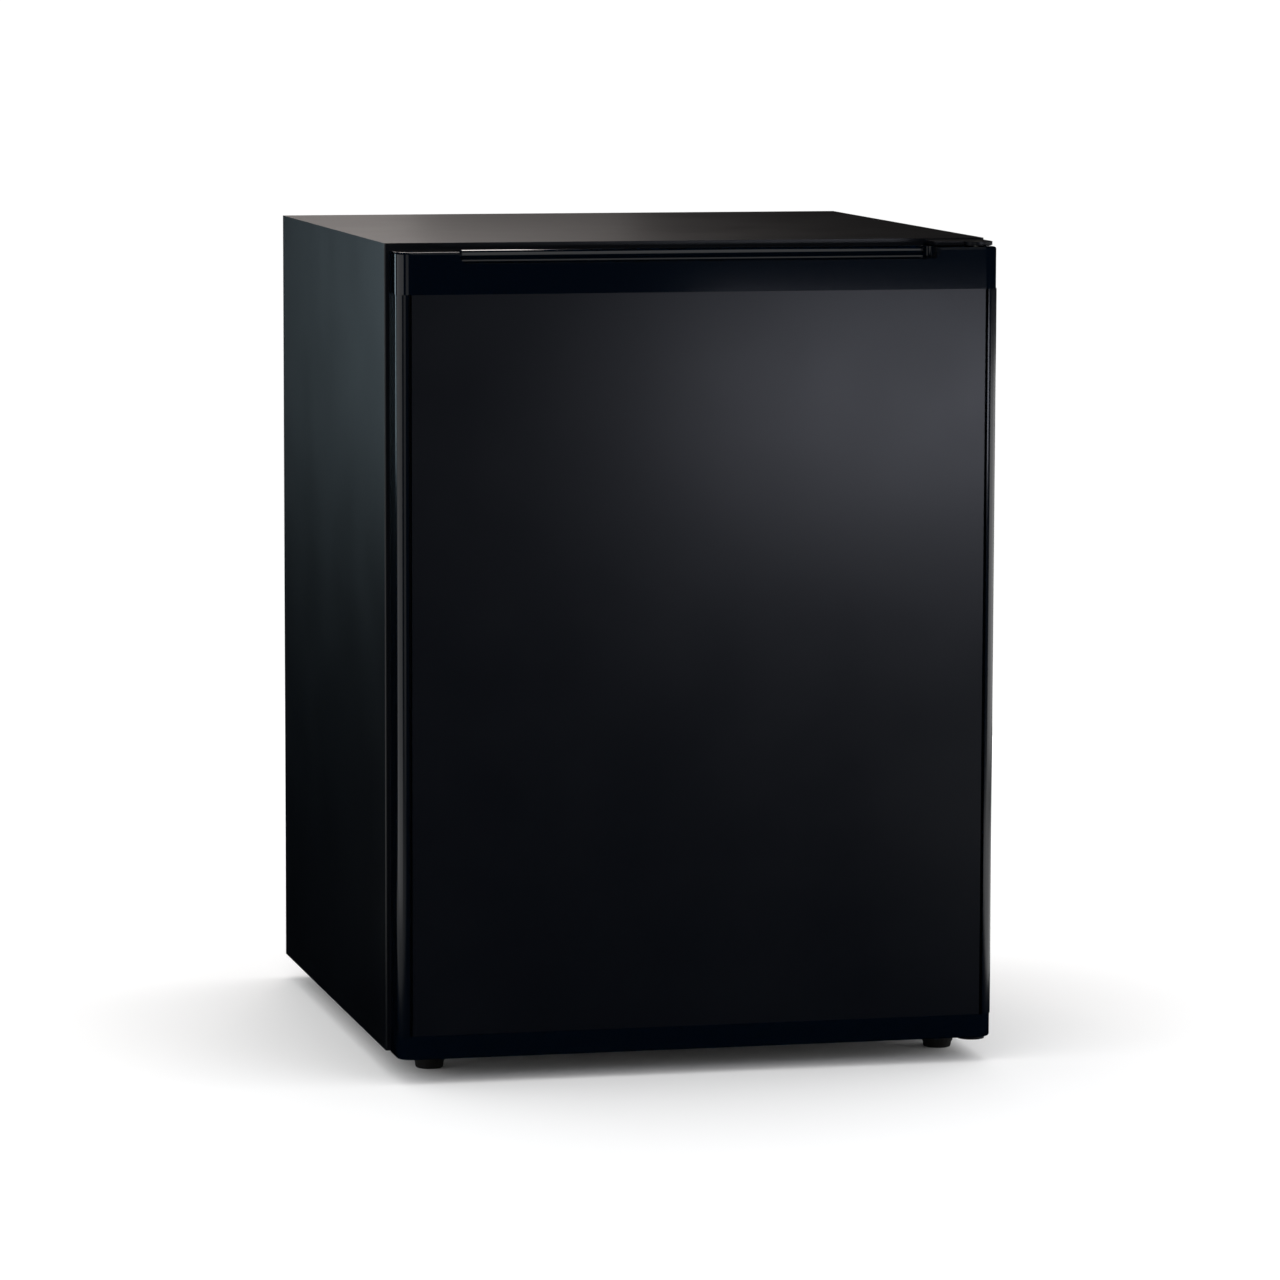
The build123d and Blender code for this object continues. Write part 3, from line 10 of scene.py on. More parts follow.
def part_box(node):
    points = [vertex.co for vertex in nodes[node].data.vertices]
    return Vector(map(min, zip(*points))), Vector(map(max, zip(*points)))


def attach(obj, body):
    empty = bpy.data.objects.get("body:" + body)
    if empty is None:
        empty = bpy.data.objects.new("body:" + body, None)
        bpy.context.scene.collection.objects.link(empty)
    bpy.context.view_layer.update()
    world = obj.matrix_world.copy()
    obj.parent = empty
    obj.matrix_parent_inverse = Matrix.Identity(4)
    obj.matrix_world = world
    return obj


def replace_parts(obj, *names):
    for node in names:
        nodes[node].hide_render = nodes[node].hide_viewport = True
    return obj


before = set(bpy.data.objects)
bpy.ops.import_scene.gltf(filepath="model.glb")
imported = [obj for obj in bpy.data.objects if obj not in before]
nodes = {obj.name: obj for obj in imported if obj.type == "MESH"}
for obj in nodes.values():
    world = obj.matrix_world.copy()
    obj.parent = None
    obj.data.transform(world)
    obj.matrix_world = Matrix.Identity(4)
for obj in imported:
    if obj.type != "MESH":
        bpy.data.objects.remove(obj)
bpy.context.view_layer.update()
MM = 0.001
# Sockets of a colour mix, and the span in which nearly all of a noise texture's values lie
MIX_A, MIX_B, MIX_RESULT = 6, 7, 2
NOISE_SPAN = {"From Min": 0.3, "From Max": 0.7}


# Colour and shader helpers

def linear(code):
    """An sRGB hex colour as linear red, green, blue and alpha."""
    values = [int(code[place:place + 2], 16) / 255 for place in (1, 3, 5)]
    return [v / 12.92 if v <= 0.04045 else ((v + 0.055) / 1.055) ** 2.4 for v in values] + [1.0]


def add(tree, kind, inputs, feeds=None, out=0, **settings):
    """Add a shader node with its settings, fill its inputs with values or links, and link one output on."""
    made = tree.nodes.new(kind)
    for name, value in settings.items():
        setattr(made, name, value)
    for socket, value in inputs.items():
        if isinstance(value, bpy.types.NodeSocket):
            tree.links.new(value, made.inputs[socket])
        else:
            made.inputs[socket].default_value = value
    if feeds:
        tree.links.new(made.outputs[out], feeds)
    return made


def grain(size_mm):
    """The texture scale at which one feature measures the given millimetres on the object."""
    return 1 / (size_mm * MM)


def start(name, colour, **settings):
    """A material with its shader's plain values set, its tree, its shader and its Object coordinates."""
    material = bpy.data.materials.new(name)
    material.use_nodes = True
    tree = material.node_tree
    shader = tree.nodes["Principled BSDF"]
    shader.inputs["Base Color"].default_value = linear(colour)
    for socket, value in settings.items():
        shader.inputs[socket.replace("_", " ")].default_value = value
    place = add(tree, "ShaderNodeTexCoord", {}).outputs["Object"]
    return material, tree, shader, place


# Finishes

def powder_coated_steel():
    """Folded steel, sprayed with satin black powder and baked: deep black with a faint orange peel."""
    material, tree, shader, place = start("powder_coated_steel", "#02050e", IOR=1.5)
    peel = add(tree, "ShaderNodeTexNoise",
               {"Vector": place, "Scale": grain(2.2), "Detail": 2.0}).outputs["Fac"]
    cloud = add(tree, "ShaderNodeTexNoise",
                {"Vector": place, "Scale": grain(70), "Detail": 3.0}).outputs["Fac"]
    add(tree, "ShaderNodeMapRange", {"Value": cloud, **NOISE_SPAN, "To Min": 0.29, "To Max": 0.32},
        shader.inputs["Roughness"])
    add(tree, "ShaderNodeMix", {"Factor": cloud, MIX_A: linear("#01040c"), MIX_B: linear("#020610")},
        shader.inputs["Base Color"], MIX_RESULT, data_type="RGBA")
    add(tree, "ShaderNodeBump", {"Height": peel, "Distance": 0.012 * MM}, shader.inputs["Normal"])
    return material


def moulded_black_abs():
    """Injection-moulded black ABS: smooth and a little glossier than the paint, with a fine spark grain."""
    material, tree, shader, place = start("moulded_black_abs", "#01040a", IOR=1.53)
    spark = add(tree, "ShaderNodeTexNoise",
                {"Vector": place, "Scale": grain(0.9), "Detail": 3.0}).outputs["Fac"]
    add(tree, "ShaderNodeMapRange", {"Value": spark, **NOISE_SPAN, "To Min": 0.07, "To Max": 0.10},
        shader.inputs["Roughness"])
    add(tree, "ShaderNodeBump", {"Height": spark, "Distance": 0.008 * MM}, shader.inputs["Normal"])
    return material


def extruded_black_rail():
    """Extruded glossy black plastic: fine die lines run up the rail and stretch its reflections."""
    material, tree, shader, place = start("extruded_black_rail", "#01040a", IOR=1.53)
    run = add(tree, "ShaderNodeMapping", {"Vector": place, "Scale": (1.0, 1.0, 0.004)}).outputs["Vector"]
    lines = add(tree, "ShaderNodeTexNoise",
                {"Vector": run, "Scale": grain(0.8), "Detail": 2.0}).outputs["Fac"]
    add(tree, "ShaderNodeMapRange", {"Value": lines, **NOISE_SPAN, "To Min": 0.13, "To Max": 0.17},
        shader.inputs["Roughness"])
    add(tree, "ShaderNodeBump", {"Height": lines, "Distance": 0.006 * MM}, shader.inputs["Normal"])
    return material


def galvanised_sheet():
    """Hot-dipped galvanised steel: dull zinc crystals, each with its own grey and gloss."""
    material, tree, shader, place = start("galvanised_sheet", "#a7abad", Metallic=0.7)
    crystal = add(tree, "ShaderNodeTexVoronoi", {"Vector": place, "Scale": grain(9)}).outputs["Color"]
    tone = add(tree, "ShaderNodeSeparateColor", {"Color": crystal}).outputs["Red"]
    add(tree, "ShaderNodeMix", {"Factor": tone, MIX_A: linear("#8f9496"), MIX_B: linear("#b3b7b8")},
        shader.inputs["Base Color"], MIX_RESULT, data_type="RGBA")
    add(tree, "ShaderNodeMapRange", {"Value": tone, "To Min": 0.38, "To Max": 0.55},
        shader.inputs["Roughness"])
    return material


def zinc_plated_steel():
    """Turned or pressed steel with bright zinc plating, slightly yellow where it was passivated."""
    material, tree, shader, place = start("zinc_plated_steel", "#c4c6c6", Metallic=1.0)
    film = add(tree, "ShaderNodeTexNoise",
               {"Vector": place, "Scale": grain(4), "Detail": 3.0}).outputs["Fac"]
    add(tree, "ShaderNodeMix", {"Factor": film, MIX_A: linear("#c9cbcc"), MIX_B: linear("#b9b79f")},
        shader.inputs["Base Color"], MIX_RESULT, data_type="RGBA")
    add(tree, "ShaderNodeMapRange", {"Value": film, **NOISE_SPAN, "To Min": 0.24, "To Max": 0.36},
        shader.inputs["Roughness"])
    return material


def rigid_foam():
    """Foamed-in-place polyurethane: cream, with closed cells about a millimetre across."""
    material, tree, shader, place = start("rigid_foam", "#d9c48f", Roughness=0.9)
    cells = add(tree, "ShaderNodeTexVoronoi", {"Vector": place, "Scale": grain(1.2)}).outputs["Distance"]
    add(tree, "ShaderNodeMix", {"Factor": cells, MIX_A: linear("#b99f66"), MIX_B: linear("#e2d09f")},
        shader.inputs["Base Color"], MIX_RESULT, data_type="RGBA")
    add(tree, "ShaderNodeBump", {"Height": cells, "Distance": 0.3 * MM}, shader.inputs["Normal"])
    return material


def formed_polystyrene():
    """Vacuum-formed white polystyrene: soft gloss, slightly wavy where the sheet was drawn."""
    material, tree, shader, place = start("formed_polystyrene", "#e6e8e5", IOR=1.59)
    wave = add(tree, "ShaderNodeTexNoise",
               {"Vector": place, "Scale": grain(34), "Detail": 1.0}).outputs["Fac"]
    matt = add(tree, "ShaderNodeTexNoise",
               {"Vector": place, "Scale": grain(1.5), "Detail": 2.0}).outputs["Fac"]
    add(tree, "ShaderNodeMix", {"Factor": wave, MIX_A: linear("#e2e5e2"), MIX_B: linear("#ebedea")},
        shader.inputs["Base Color"], MIX_RESULT, data_type="RGBA")
    add(tree, "ShaderNodeMapRange", {"Value": matt, **NOISE_SPAN, "To Min": 0.26, "To Max": 0.34},
        shader.inputs["Roughness"])
    add(tree, "ShaderNodeBump", {"Height": wave, "Distance": 0.25 * MM, "Strength": 0.6},
        shader.inputs["Normal"])
    return material


def coated_wire():
    """Welded steel wire dipped in white polyethylene: rounded, slightly uneven in thickness."""
    material, tree, shader, place = start("coated_wire", "#eceeec", IOR=1.51)
    drip = add(tree, "ShaderNodeTexNoise",
               {"Vector": place, "Scale": grain(5), "Detail": 2.0}).outputs["Fac"]
    add(tree, "ShaderNodeMix", {"Factor": drip, MIX_A: linear("#e4e6e3"), MIX_B: linear("#f1f2f0")},
        shader.inputs["Base Color"], MIX_RESULT, data_type="RGBA")
    add(tree, "ShaderNodeMapRange", {"Value": drip, **NOISE_SPAN, "To Min": 0.24, "To Max": 0.34},
        shader.inputs["Roughness"])
    add(tree, "ShaderNodeBump", {"Height": drip, "Distance": 0.08 * MM, "Strength": 0.5},
        shader.inputs["Normal"])
    return material


def clear_polystyrene():
    """Moulded clear polystyrene with a faint blue cast: see-through, with slightly frosted faces."""
    material, tree, shader, place = start("clear_polystyrene", "#dcebee", IOR=1.59,
                                          Transmission_Weight=0.82)
    frost = add(tree, "ShaderNodeTexNoise",
                {"Vector": place, "Scale": grain(2), "Detail": 3.0}).outputs["Fac"]
    add(tree, "ShaderNodeMapRange", {"Value": frost, **NOISE_SPAN, "To Min": 0.10, "To Max": 0.20},
        shader.inputs["Roughness"])
    return material


def gasket_vinyl():
    """Extruded soft vinyl: black-grey and dull, with a finely uneven skin."""
    material, tree, shader, place = start("gasket_vinyl", "#131314", IOR=1.52)
    skin = add(tree, "ShaderNodeTexNoise",
               {"Vector": place, "Scale": grain(1.4), "Detail": 3.0}).outputs["Fac"]
    add(tree, "ShaderNodeMapRange", {"Value": skin, **NOISE_SPAN, "To Min": 0.46, "To Max": 0.58},
        shader.inputs["Roughness"])
    add(tree, "ShaderNodeBump", {"Height": skin, "Distance": 0.02 * MM}, shader.inputs["Normal"])
    return material


def ferrite_strip():
    """Extruded magnet strip: brown-black ferrite in a soft binder."""
    material, tree, shader, place = start("ferrite_strip", "#2a2320")
    speck = add(tree, "ShaderNodeTexNoise",
                {"Vector": place, "Scale": grain(0.8), "Detail": 4.0}).outputs["Fac"]
    add(tree, "ShaderNodeMapRange", {"Value": speck, **NOISE_SPAN, "To Min": 0.7, "To Max": 0.9},
        shader.inputs["Roughness"])
    return material


def natural_nylon():
    """Moulded natural nylon: warm white, waxy and slightly see-through at its edges."""
    material, tree, shader, place = start("natural_nylon", "#e8e3d4", IOR=1.53, Subsurface_Weight=0.1,
                                          Subsurface_Scale=0.002)
    flow = add(tree, "ShaderNodeTexNoise",
               {"Vector": place, "Scale": grain(3), "Detail": 2.0}).outputs["Fac"]
    add(tree, "ShaderNodeMapRange", {"Value": flow, **NOISE_SPAN, "To Min": 0.32, "To Max": 0.44},
        shader.inputs["Roughness"])
    return material


def moulded_rubber():
    """Compression-moulded black rubber: matt, with a trace of grey bloom."""
    material, tree, shader, place = start("moulded_rubber", "#0d0d0d", IOR=1.52)
    bloom = add(tree, "ShaderNodeTexNoise",
                {"Vector": place, "Scale": grain(6), "Detail": 4.0}).outputs["Fac"]
    add(tree, "ShaderNodeMix", {"Factor": bloom, MIX_A: linear("#0b0b0b"), MIX_B: linear("#1a1a19")},
        shader.inputs["Base Color"], MIX_RESULT, data_type="RGBA")
    add(tree, "ShaderNodeMapRange", {"Value": bloom, **NOISE_SPAN, "To Min": 0.62, "To Max": 0.8},
        shader.inputs["Roughness"])
    add(tree, "ShaderNodeBump", {"Height": bloom, "Distance": 0.04 * MM}, shader.inputs["Normal"])
    return material


def anodised_aluminium():
    """Extruded aluminium, natural anodised: satin, with lines along the extrusion."""
    material, tree, shader, place = start("anodised_aluminium", "#b5b9bb", Metallic=0.7)
    run = add(tree, "ShaderNodeMapping", {"Vector": place, "Scale": (1.0, 1.0, 0.01)}).outputs["Vector"]
    lines = add(tree, "ShaderNodeTexNoise",
                {"Vector": run, "Scale": grain(0.7), "Detail": 3.0}).outputs["Fac"]
    add(tree, "ShaderNodeMix", {"Factor": lines, MIX_A: linear("#a6aaac"), MIX_B: linear("#c0c4c6")},
        shader.inputs["Base Color"], MIX_RESULT, data_type="RGBA")
    add(tree, "ShaderNodeMapRange", {"Value": lines, **NOISE_SPAN, "To Min": 0.30, "To Max": 0.44},
        shader.inputs["Roughness"])
    add(tree, "ShaderNodeBump", {"Height": lines, "Distance": 0.006 * MM}, shader.inputs["Normal"])
    return material


def moulded_white_abs():
    """Injection-moulded white ABS with a fine etched grain."""
    material, tree, shader, place = start("moulded_white_abs", "#e3e5e1", IOR=1.53)
    etch = add(tree, "ShaderNodeTexNoise",
               {"Vector": place, "Scale": grain(0.7), "Detail": 3.0}).outputs["Fac"]
    add(tree, "ShaderNodeMapRange", {"Value": etch, **NOISE_SPAN, "To Min": 0.38, "To Max": 0.48},
        shader.inputs["Roughness"])
    add(tree, "ShaderNodeMix", {"Factor": etch, MIX_A: linear("#dfe1dd"), MIX_B: linear("#e7e9e5")},
        shader.inputs["Base Color"], MIX_RESULT, data_type="RGBA")
    add(tree, "ShaderNodeBump", {"Height": etch, "Distance": 0.02 * MM}, shader.inputs["Normal"])
    return material


def frosted_lens():
    """Moulded frosted polycarbonate: milky, with shallow ribs that spread light, about 16 mm apart."""
    material, tree, shader, place = start("frosted_lens", "#f3f4ee", IOR=1.58, Roughness=0.32,
                                          Transmission_Weight=0.55)
    ribs = add(tree, "ShaderNodeTexWave", {"Vector": place, "Scale": grain(50)},
               wave_type="BANDS", bands_direction="X").outputs["Fac"]
    add(tree, "ShaderNodeBump", {"Height": ribs, "Distance": 0.3 * MM}, shader.inputs["Normal"])
    return material


def printed_board():
    """Glass-fibre circuit board under green solder mask, with brighter lines where copper runs below it."""
    material, tree, shader, place = start("printed_board", "#12512c", Roughness=0.35)
    add(tree, "ShaderNodeTexBrick",
        {"Vector": place, "Scale": grain(60), "Mortar Size": 0.03, "Mortar": linear("#2f7a48"),
         "Color1": linear("#12512c"), "Color2": linear("#0f4626")}, shader.inputs["Base Color"])
    return material


def baked_black_paint():
    """Steel tube under thin baked black paint: matt, dusty, and brown where heat has worked on it."""
    material, tree, shader, place = start("baked_black_paint", "#18181a")
    dust = add(tree, "ShaderNodeTexNoise",
               {"Vector": place, "Scale": grain(28), "Detail": 5.0}).outputs["Fac"]
    skin = add(tree, "ShaderNodeTexNoise",
               {"Vector": place, "Scale": grain(1.6), "Detail": 2.0}).outputs["Fac"]
    settled = add(tree, "ShaderNodeMapRange",
                  {"Value": dust, "From Min": 0.4, "From Max": 0.75}).outputs["Result"]
    add(tree, "ShaderNodeMix", {"Factor": settled, MIX_A: linear("#151517"), MIX_B: linear("#2a2724")},
        shader.inputs["Base Color"], MIX_RESULT, data_type="RGBA")
    add(tree, "ShaderNodeMapRange", {"Value": dust, **NOISE_SPAN, "To Min": 0.42, "To Max": 0.62},
        shader.inputs["Roughness"])
    add(tree, "ShaderNodeBump", {"Height": skin, "Distance": 0.03 * MM}, shader.inputs["Normal"])
    return material


def mineral_wool():
    """Packed mineral wool: matted yellow-brown fibres."""
    material, tree, shader, place = start("mineral_wool", "#b39a5c", Roughness=1.0)
    fibre = add(tree, "ShaderNodeTexNoise",
                {"Vector": place, "Scale": grain(1.5), "Detail": 6.0, "Distortion": 1.5}).outputs["Fac"]
    add(tree, "ShaderNodeMix", {"Factor": fibre, MIX_A: linear("#8d763f"), MIX_B: linear("#cbb47a")},
        shader.inputs["Base Color"], MIX_RESULT, data_type="RGBA")
    add(tree, "ShaderNodeBump", {"Height": fibre, "Distance": 0.8 * MM}, shader.inputs["Normal"])
    return material


def heater_sheath():
    """Drawn stainless tube, tinted straw-brown by heat."""
    material, tree, shader, place = start("heater_sheath", "#a99c86", Metallic=1.0)
    tint = add(tree, "ShaderNodeTexNoise",
               {"Vector": place, "Scale": grain(30), "Detail": 2.0}).outputs["Fac"]
    add(tree, "ShaderNodeMix", {"Factor": tint, MIX_A: linear("#b3aa99"), MIX_B: linear("#8f7a58")},
        shader.inputs["Base Color"], MIX_RESULT, data_type="RGBA")
    add(tree, "ShaderNodeMapRange", {"Value": tint, **NOISE_SPAN, "To Min": 0.26, "To Max": 0.38},
        shader.inputs["Roughness"])
    return material


def moulded_grey_abs():
    """Injection-moulded dark grey ABS, flame-retardant grade: matt with a coarse etched grain."""
    material, tree, shader, place = start("moulded_grey_abs", "#47494c", IOR=1.53)
    etch = add(tree, "ShaderNodeTexNoise",
               {"Vector": place, "Scale": grain(0.8), "Detail": 3.0}).outputs["Fac"]
    add(tree, "ShaderNodeMapRange", {"Value": etch, **NOISE_SPAN, "To Min": 0.44, "To Max": 0.56},
        shader.inputs["Roughness"])
    add(tree, "ShaderNodeMix", {"Factor": etch, MIX_A: linear("#434548"), MIX_B: linear("#4d4f52")},
        shader.inputs["Base Color"], MIX_RESULT, data_type="RGBA")
    add(tree, "ShaderNodeBump", {"Height": etch, "Distance": 0.03 * MM}, shader.inputs["Normal"])
    return material


def moulded_black_nylon():
    """Glass-filled black nylon: matt, with short grey flow marks."""
    material, tree, shader, place = start("moulded_black_nylon", "#101011", IOR=1.53)
    flow = add(tree, "ShaderNodeTexNoise",
               {"Vector": place, "Scale": grain(1.2), "Detail": 4.0}).outputs["Fac"]
    add(tree, "ShaderNodeMapRange", {"Value": flow, **NOISE_SPAN, "To Min": 0.46, "To Max": 0.6},
        shader.inputs["Roughness"])
    add(tree, "ShaderNodeBump", {"Height": flow, "Distance": 0.02 * MM}, shader.inputs["Normal"])
    return material


def silicone_lead():
    """Silicone-sheathed lead: soft black-grey skin that holds a little dust."""
    material, tree, shader, place = start("silicone_lead", "#161616", IOR=1.41)
    dust = add(tree, "ShaderNodeTexNoise",
               {"Vector": place, "Scale": grain(8), "Detail": 4.0}).outputs["Fac"]
    add(tree, "ShaderNodeMix", {"Factor": dust, MIX_A: linear("#131313"), MIX_B: linear("#232221")},
        shader.inputs["Base Color"], MIX_RESULT, data_type="RGBA")
    add(tree, "ShaderNodeMapRange", {"Value": dust, **NOISE_SPAN, "To Min": 0.5, "To Max": 0.66},
        shader.inputs["Roughness"])
    return material


def drain_vinyl():
    """Extruded milky vinyl hose."""
    material, tree, shader, place = start("drain_vinyl", "#c8ccc6", IOR=1.52, Transmission_Weight=0.25)
    haze = add(tree, "ShaderNodeTexNoise",
               {"Vector": place, "Scale": grain(10), "Detail": 2.0}).outputs["Fac"]
    add(tree, "ShaderNodeMapRange", {"Value": haze, **NOISE_SPAN, "To Min": 0.32, "To Max": 0.45},
        shader.inputs["Roughness"])
    return material


def nickelled_brass():
    """Turned brass pins with bright nickel plating."""
    material, tree, shader, place = start("nickelled_brass", "#cfc8b4", Metallic=1.0)
    turn = add(tree, "ShaderNodeTexNoise",
               {"Vector": place, "Scale": grain(0.6), "Detail": 2.0}).outputs["Fac"]
    add(tree, "ShaderNodeMapRange", {"Value": turn, **NOISE_SPAN, "To Min": 0.18, "To Max": 0.28},
        shader.inputs["Roughness"])
    return material


def pad_printed_ink():
    """Pad-printed grey ink: thin and matt, with a slightly uneven lay."""
    material, tree, shader, place = start("pad_printed_ink", "#3a3d40", Roughness=0.6)
    lay = add(tree, "ShaderNodeTexNoise",
              {"Vector": place, "Scale": grain(0.5), "Detail": 2.0}).outputs["Fac"]
    add(tree, "ShaderNodeMix", {"Factor": lay, MIX_A: linear("#34373a"), MIX_B: linear("#44474a")},
        shader.inputs["Base Color"], MIX_RESULT, data_type="RGBA")
    return material


def studio_floor():
    """Pale matt studio floor."""
    material, tree, shader, place = start("studio_floor", "#f4f4f4", Roughness=0.9, Specular_IOR_Level=0.0)
    mottle = add(tree, "ShaderNodeTexNoise",
                 {"Vector": place, "Scale": grain(300), "Detail": 2.0}).outputs["Fac"]
    add(tree, "ShaderNodeMix", {"Factor": mottle, MIX_A: linear("#f2f2f2"), MIX_B: linear("#f6f6f6")},
        shader.inputs["Base Color"], MIX_RESULT, data_type="RGBA")
    return material


finishes = {
    powder_coated_steel: ["left_side_panel", "right_side_panel", "top_panel", "base_pan",
                          "door_front_panel", "top_hinge_plate", "bottom_hinge_plate"],
    moulded_black_abs: ["door_top_cap", "door_bottom_cap"],
    extruded_black_rail: ["door_rail_left", "door_rail_right"],
    galvanised_sheet: ["back_sheet", "boiler_jacket", "vessel_saddles", "coil_brackets"],
    zinc_plated_steel: ["top_hinge_pin", "bottom_hinge_pin", "hinge_screws", "foot_nuts", "unit_screws"],
    rigid_foam: ["cabinet_foam", "door_foam"],
    formed_polystyrene: ["inner_liner", "door_inner_liner"],
    coated_wire: ["lower_shelf", "upper_shelf"],
    clear_polystyrene: ["lower_bin", "upper_bin"],
    gasket_vinyl: ["door_gasket"],
    ferrite_strip: ["gasket_magnets"],
    natural_nylon: ["hinge_bushes", "switch_plunger"],
    moulded_rubber: ["front_foot_left", "front_foot_right", "rear_feet"],
    anodised_aluminium: ["evaporator_block"],
    moulded_white_abs: ["drip_tray", "control_housing", "thermostat_knob", "switch_housing",
                        "evaporation_dish"],
    frosted_lens: ["lamp_lens"],
    printed_board: ["lamp_board", "circuit_board"],
    baked_black_paint: ["boiler_tube", "condenser_tube", "condenser_fins", "evaporator_tube",
                        "absorber_coil", "absorber_vessel", "liquid_tube"],
    mineral_wool: ["boiler_insulation"],
    heater_sheath: ["heating_element"],
    moulded_grey_abs: ["thermostat_body", "electronics_box", "electronics_cover"],
    moulded_black_nylon: ["mains_inlet"],
    silicone_lead: ["heater_lead"],
    drain_vinyl: ["drain_tube"],
}
looks = {}
for finish, names in finishes.items():
    looks[finish] = finish()
    for name in names:
        nodes[name].data.materials.clear()
        nodes[name].data.materials.append(looks[finish])


# Detail pieces, worked out in millimetres

SAME_POINT = 1e-7


def node_box(node):
    """The low and the high corner of a CAD node's box, in millimetres."""
    return [np.array(corner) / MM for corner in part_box(node)]


def ring(count):
    """Angles at even steps once round a circle."""
    return np.linspace(0, 2 * np.pi, count, endpoint=False)


def grid_faces(rows, columns, closed=False):
    """The quads of a grid of points stored row by row; a closed grid joins its last row to its first."""
    row, column = np.meshgrid(np.arange(rows if closed else rows - 1), np.arange(columns), indexing="ij")
    below, beside = (row + 1) % rows, (column + 1) % columns
    corners = (row * columns + column, row * columns + beside,
               below * columns + beside, below * columns + column)
    return np.stack(corners, -1).reshape(-1, 4)


def make_piece(name, points, faces, finish, body):
    """Put worked-out points and quads into a piece that rides on a body; points at one place are merged."""
    shape = bmesh.new()
    mesh = bpy.data.meshes.new(name)
    mesh.from_pydata((points.reshape(-1, 3) * MM).tolist(), [], faces.tolist())
    shape.from_mesh(mesh)
    bmesh.ops.remove_doubles(shape, verts=shape.verts, dist=SAME_POINT)
    bmesh.ops.recalc_face_normals(shape, faces=shape.faces)
    shape.to_mesh(mesh)
    shape.free()
    mesh.shade_smooth()
    if finish not in looks:
        looks[finish] = finish()
    mesh.materials.append(looks[finish])
    piece = bpy.data.objects.new(name, mesh)
    bpy.context.scene.collection.objects.link(piece)
    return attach(piece, body)


def copies(points, places):
    """The same points set down at several places, one copy after another."""
    return np.concatenate([points.reshape(-1, 3) + np.array(place, float) for place in places])


def copied_faces(faces, count, size):
    """The faces of several copies of a grid that has the given number of points."""
    return (faces[None] + size * np.arange(count)[:, None, None]).reshape(-1, 4)


def turned(radius, height, angle, axis):
    """Points from a radius, a height and an angle; the axis "y" stands out of the back, "z" hangs down."""
    across, along = radius * np.cos(angle), radius * np.sin(angle)
    height = np.broadcast_to(height, across.shape)
    if axis == "y":
        return np.stack([across, height, along], -1)
    return np.stack([across, along, -height], -1)


SEAL_HALF_WIDTH, SEAL_DEPTH = 7, 5.5
SEAL_HALF_PROFILE = [(5.2, 0), (5.6, 0.35), (5.0, 0.75), (4.45, 1.0), (4.4, 1.3), (5.0, 1.65), (6.4, 2.0),
                     (6.95, 2.8), (7.0, 3.9), (6.6, 4.9), (5.6, 5.4), (3.6, 5.5)]
SEAL_CURVE_STEPS = 4
SEAL_ROW_SHARES = np.array([0, 0.002, 0.998])


def bellows_gasket():
    """The door seal: a bellows profile, mirrored about its middle, carried round the door as a mitred frame.
    Between two profile points runs a cubic that is bent by the points beside them. A profile point that
    lies n outside the frame's centre line moves each corner by n on both of its axes."""
    half_profile = np.array(SEAL_HALF_PROFILE)
    outline = np.concatenate([half_profile, half_profile[::-1] * (-1, 1)])
    steps = np.linspace(0, 1, SEAL_CURVE_STEPS, endpoint=False)[None, :, None]
    before, here, after, beyond = (np.roll(outline, -step, 0)[:, None] for step in (-1, 0, 1, 2))
    profile = 0.5 * (2 * here + (after - before) * steps
                     + (2 * before - 5 * here + 4 * after - beyond) * steps ** 2
                     + (3 * here - before - 3 * after + beyond) * steps ** 3)
    profile = profile.reshape(-1, 2).clip((-SEAL_HALF_WIDTH, 0), (SEAL_HALF_WIDTH, SEAL_DEPTH))
    out, depth = profile[:, 0], profile[:, 1]
    signs = np.array([(-1, -1), (1, -1), (1, 1), (-1, 1)])
    low, high = node_box("door_gasket")
    half_frame = (high - low) / 2 - SEAL_HALF_WIDTH
    corner_x = signs[:, 0, None] * (half_frame[0] + out)
    corner_y = np.broadcast_to(low[1] + depth, corner_x.shape)
    corner_z = (low[2] + high[2]) / 2 + signs[:, 1, None] * (half_frame[2] + out)
    corners = np.stack([corner_x, corner_y, corner_z], -1)
    share = SEAL_ROW_SHARES[None, :, None, None]
    points = corners[:, None] + share * (np.roll(corners, -1, 0) - corners)[:, None]
    faces = grid_faces(len(signs) * len(SEAL_ROW_SHARES), len(profile), closed=True)
    piece = make_piece("door_seal", points, faces, gasket_vinyl, "door")
    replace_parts(piece, "door_gasket")


# Screws: the head's radius and height, and the shank's radius and length
BRACKET_SCREW = {"head": 4, "rise": 2.5, "shank": 2, "reach": 8}
COVER_SCREW = {"head": 3, "rise": 1.8, "shank": 1.5, "reach": 1}
HINGE_SCREW = {"head": 5, "rise": 2.5, "shank": 2.5, "reach": 8}
COVER_SCREW_MARGIN = 7
SCREW_SIDES, SCREW_HEAD_RINGS = 96, 26
# Shares of the head's radius: half a cross arm's width, its length and the ramp at its edge
CROSS_ARM, CROSS_LENGTH, CROSS_EDGE = 0.15, 0.62, 0.05
# Shares of the head's height: the recess's depth, the dome's fall to its rim and the rim's wall
CROSS_DEPTH, DOME_FALL, RIM_WALL = 0.55, 0.5, 0.2


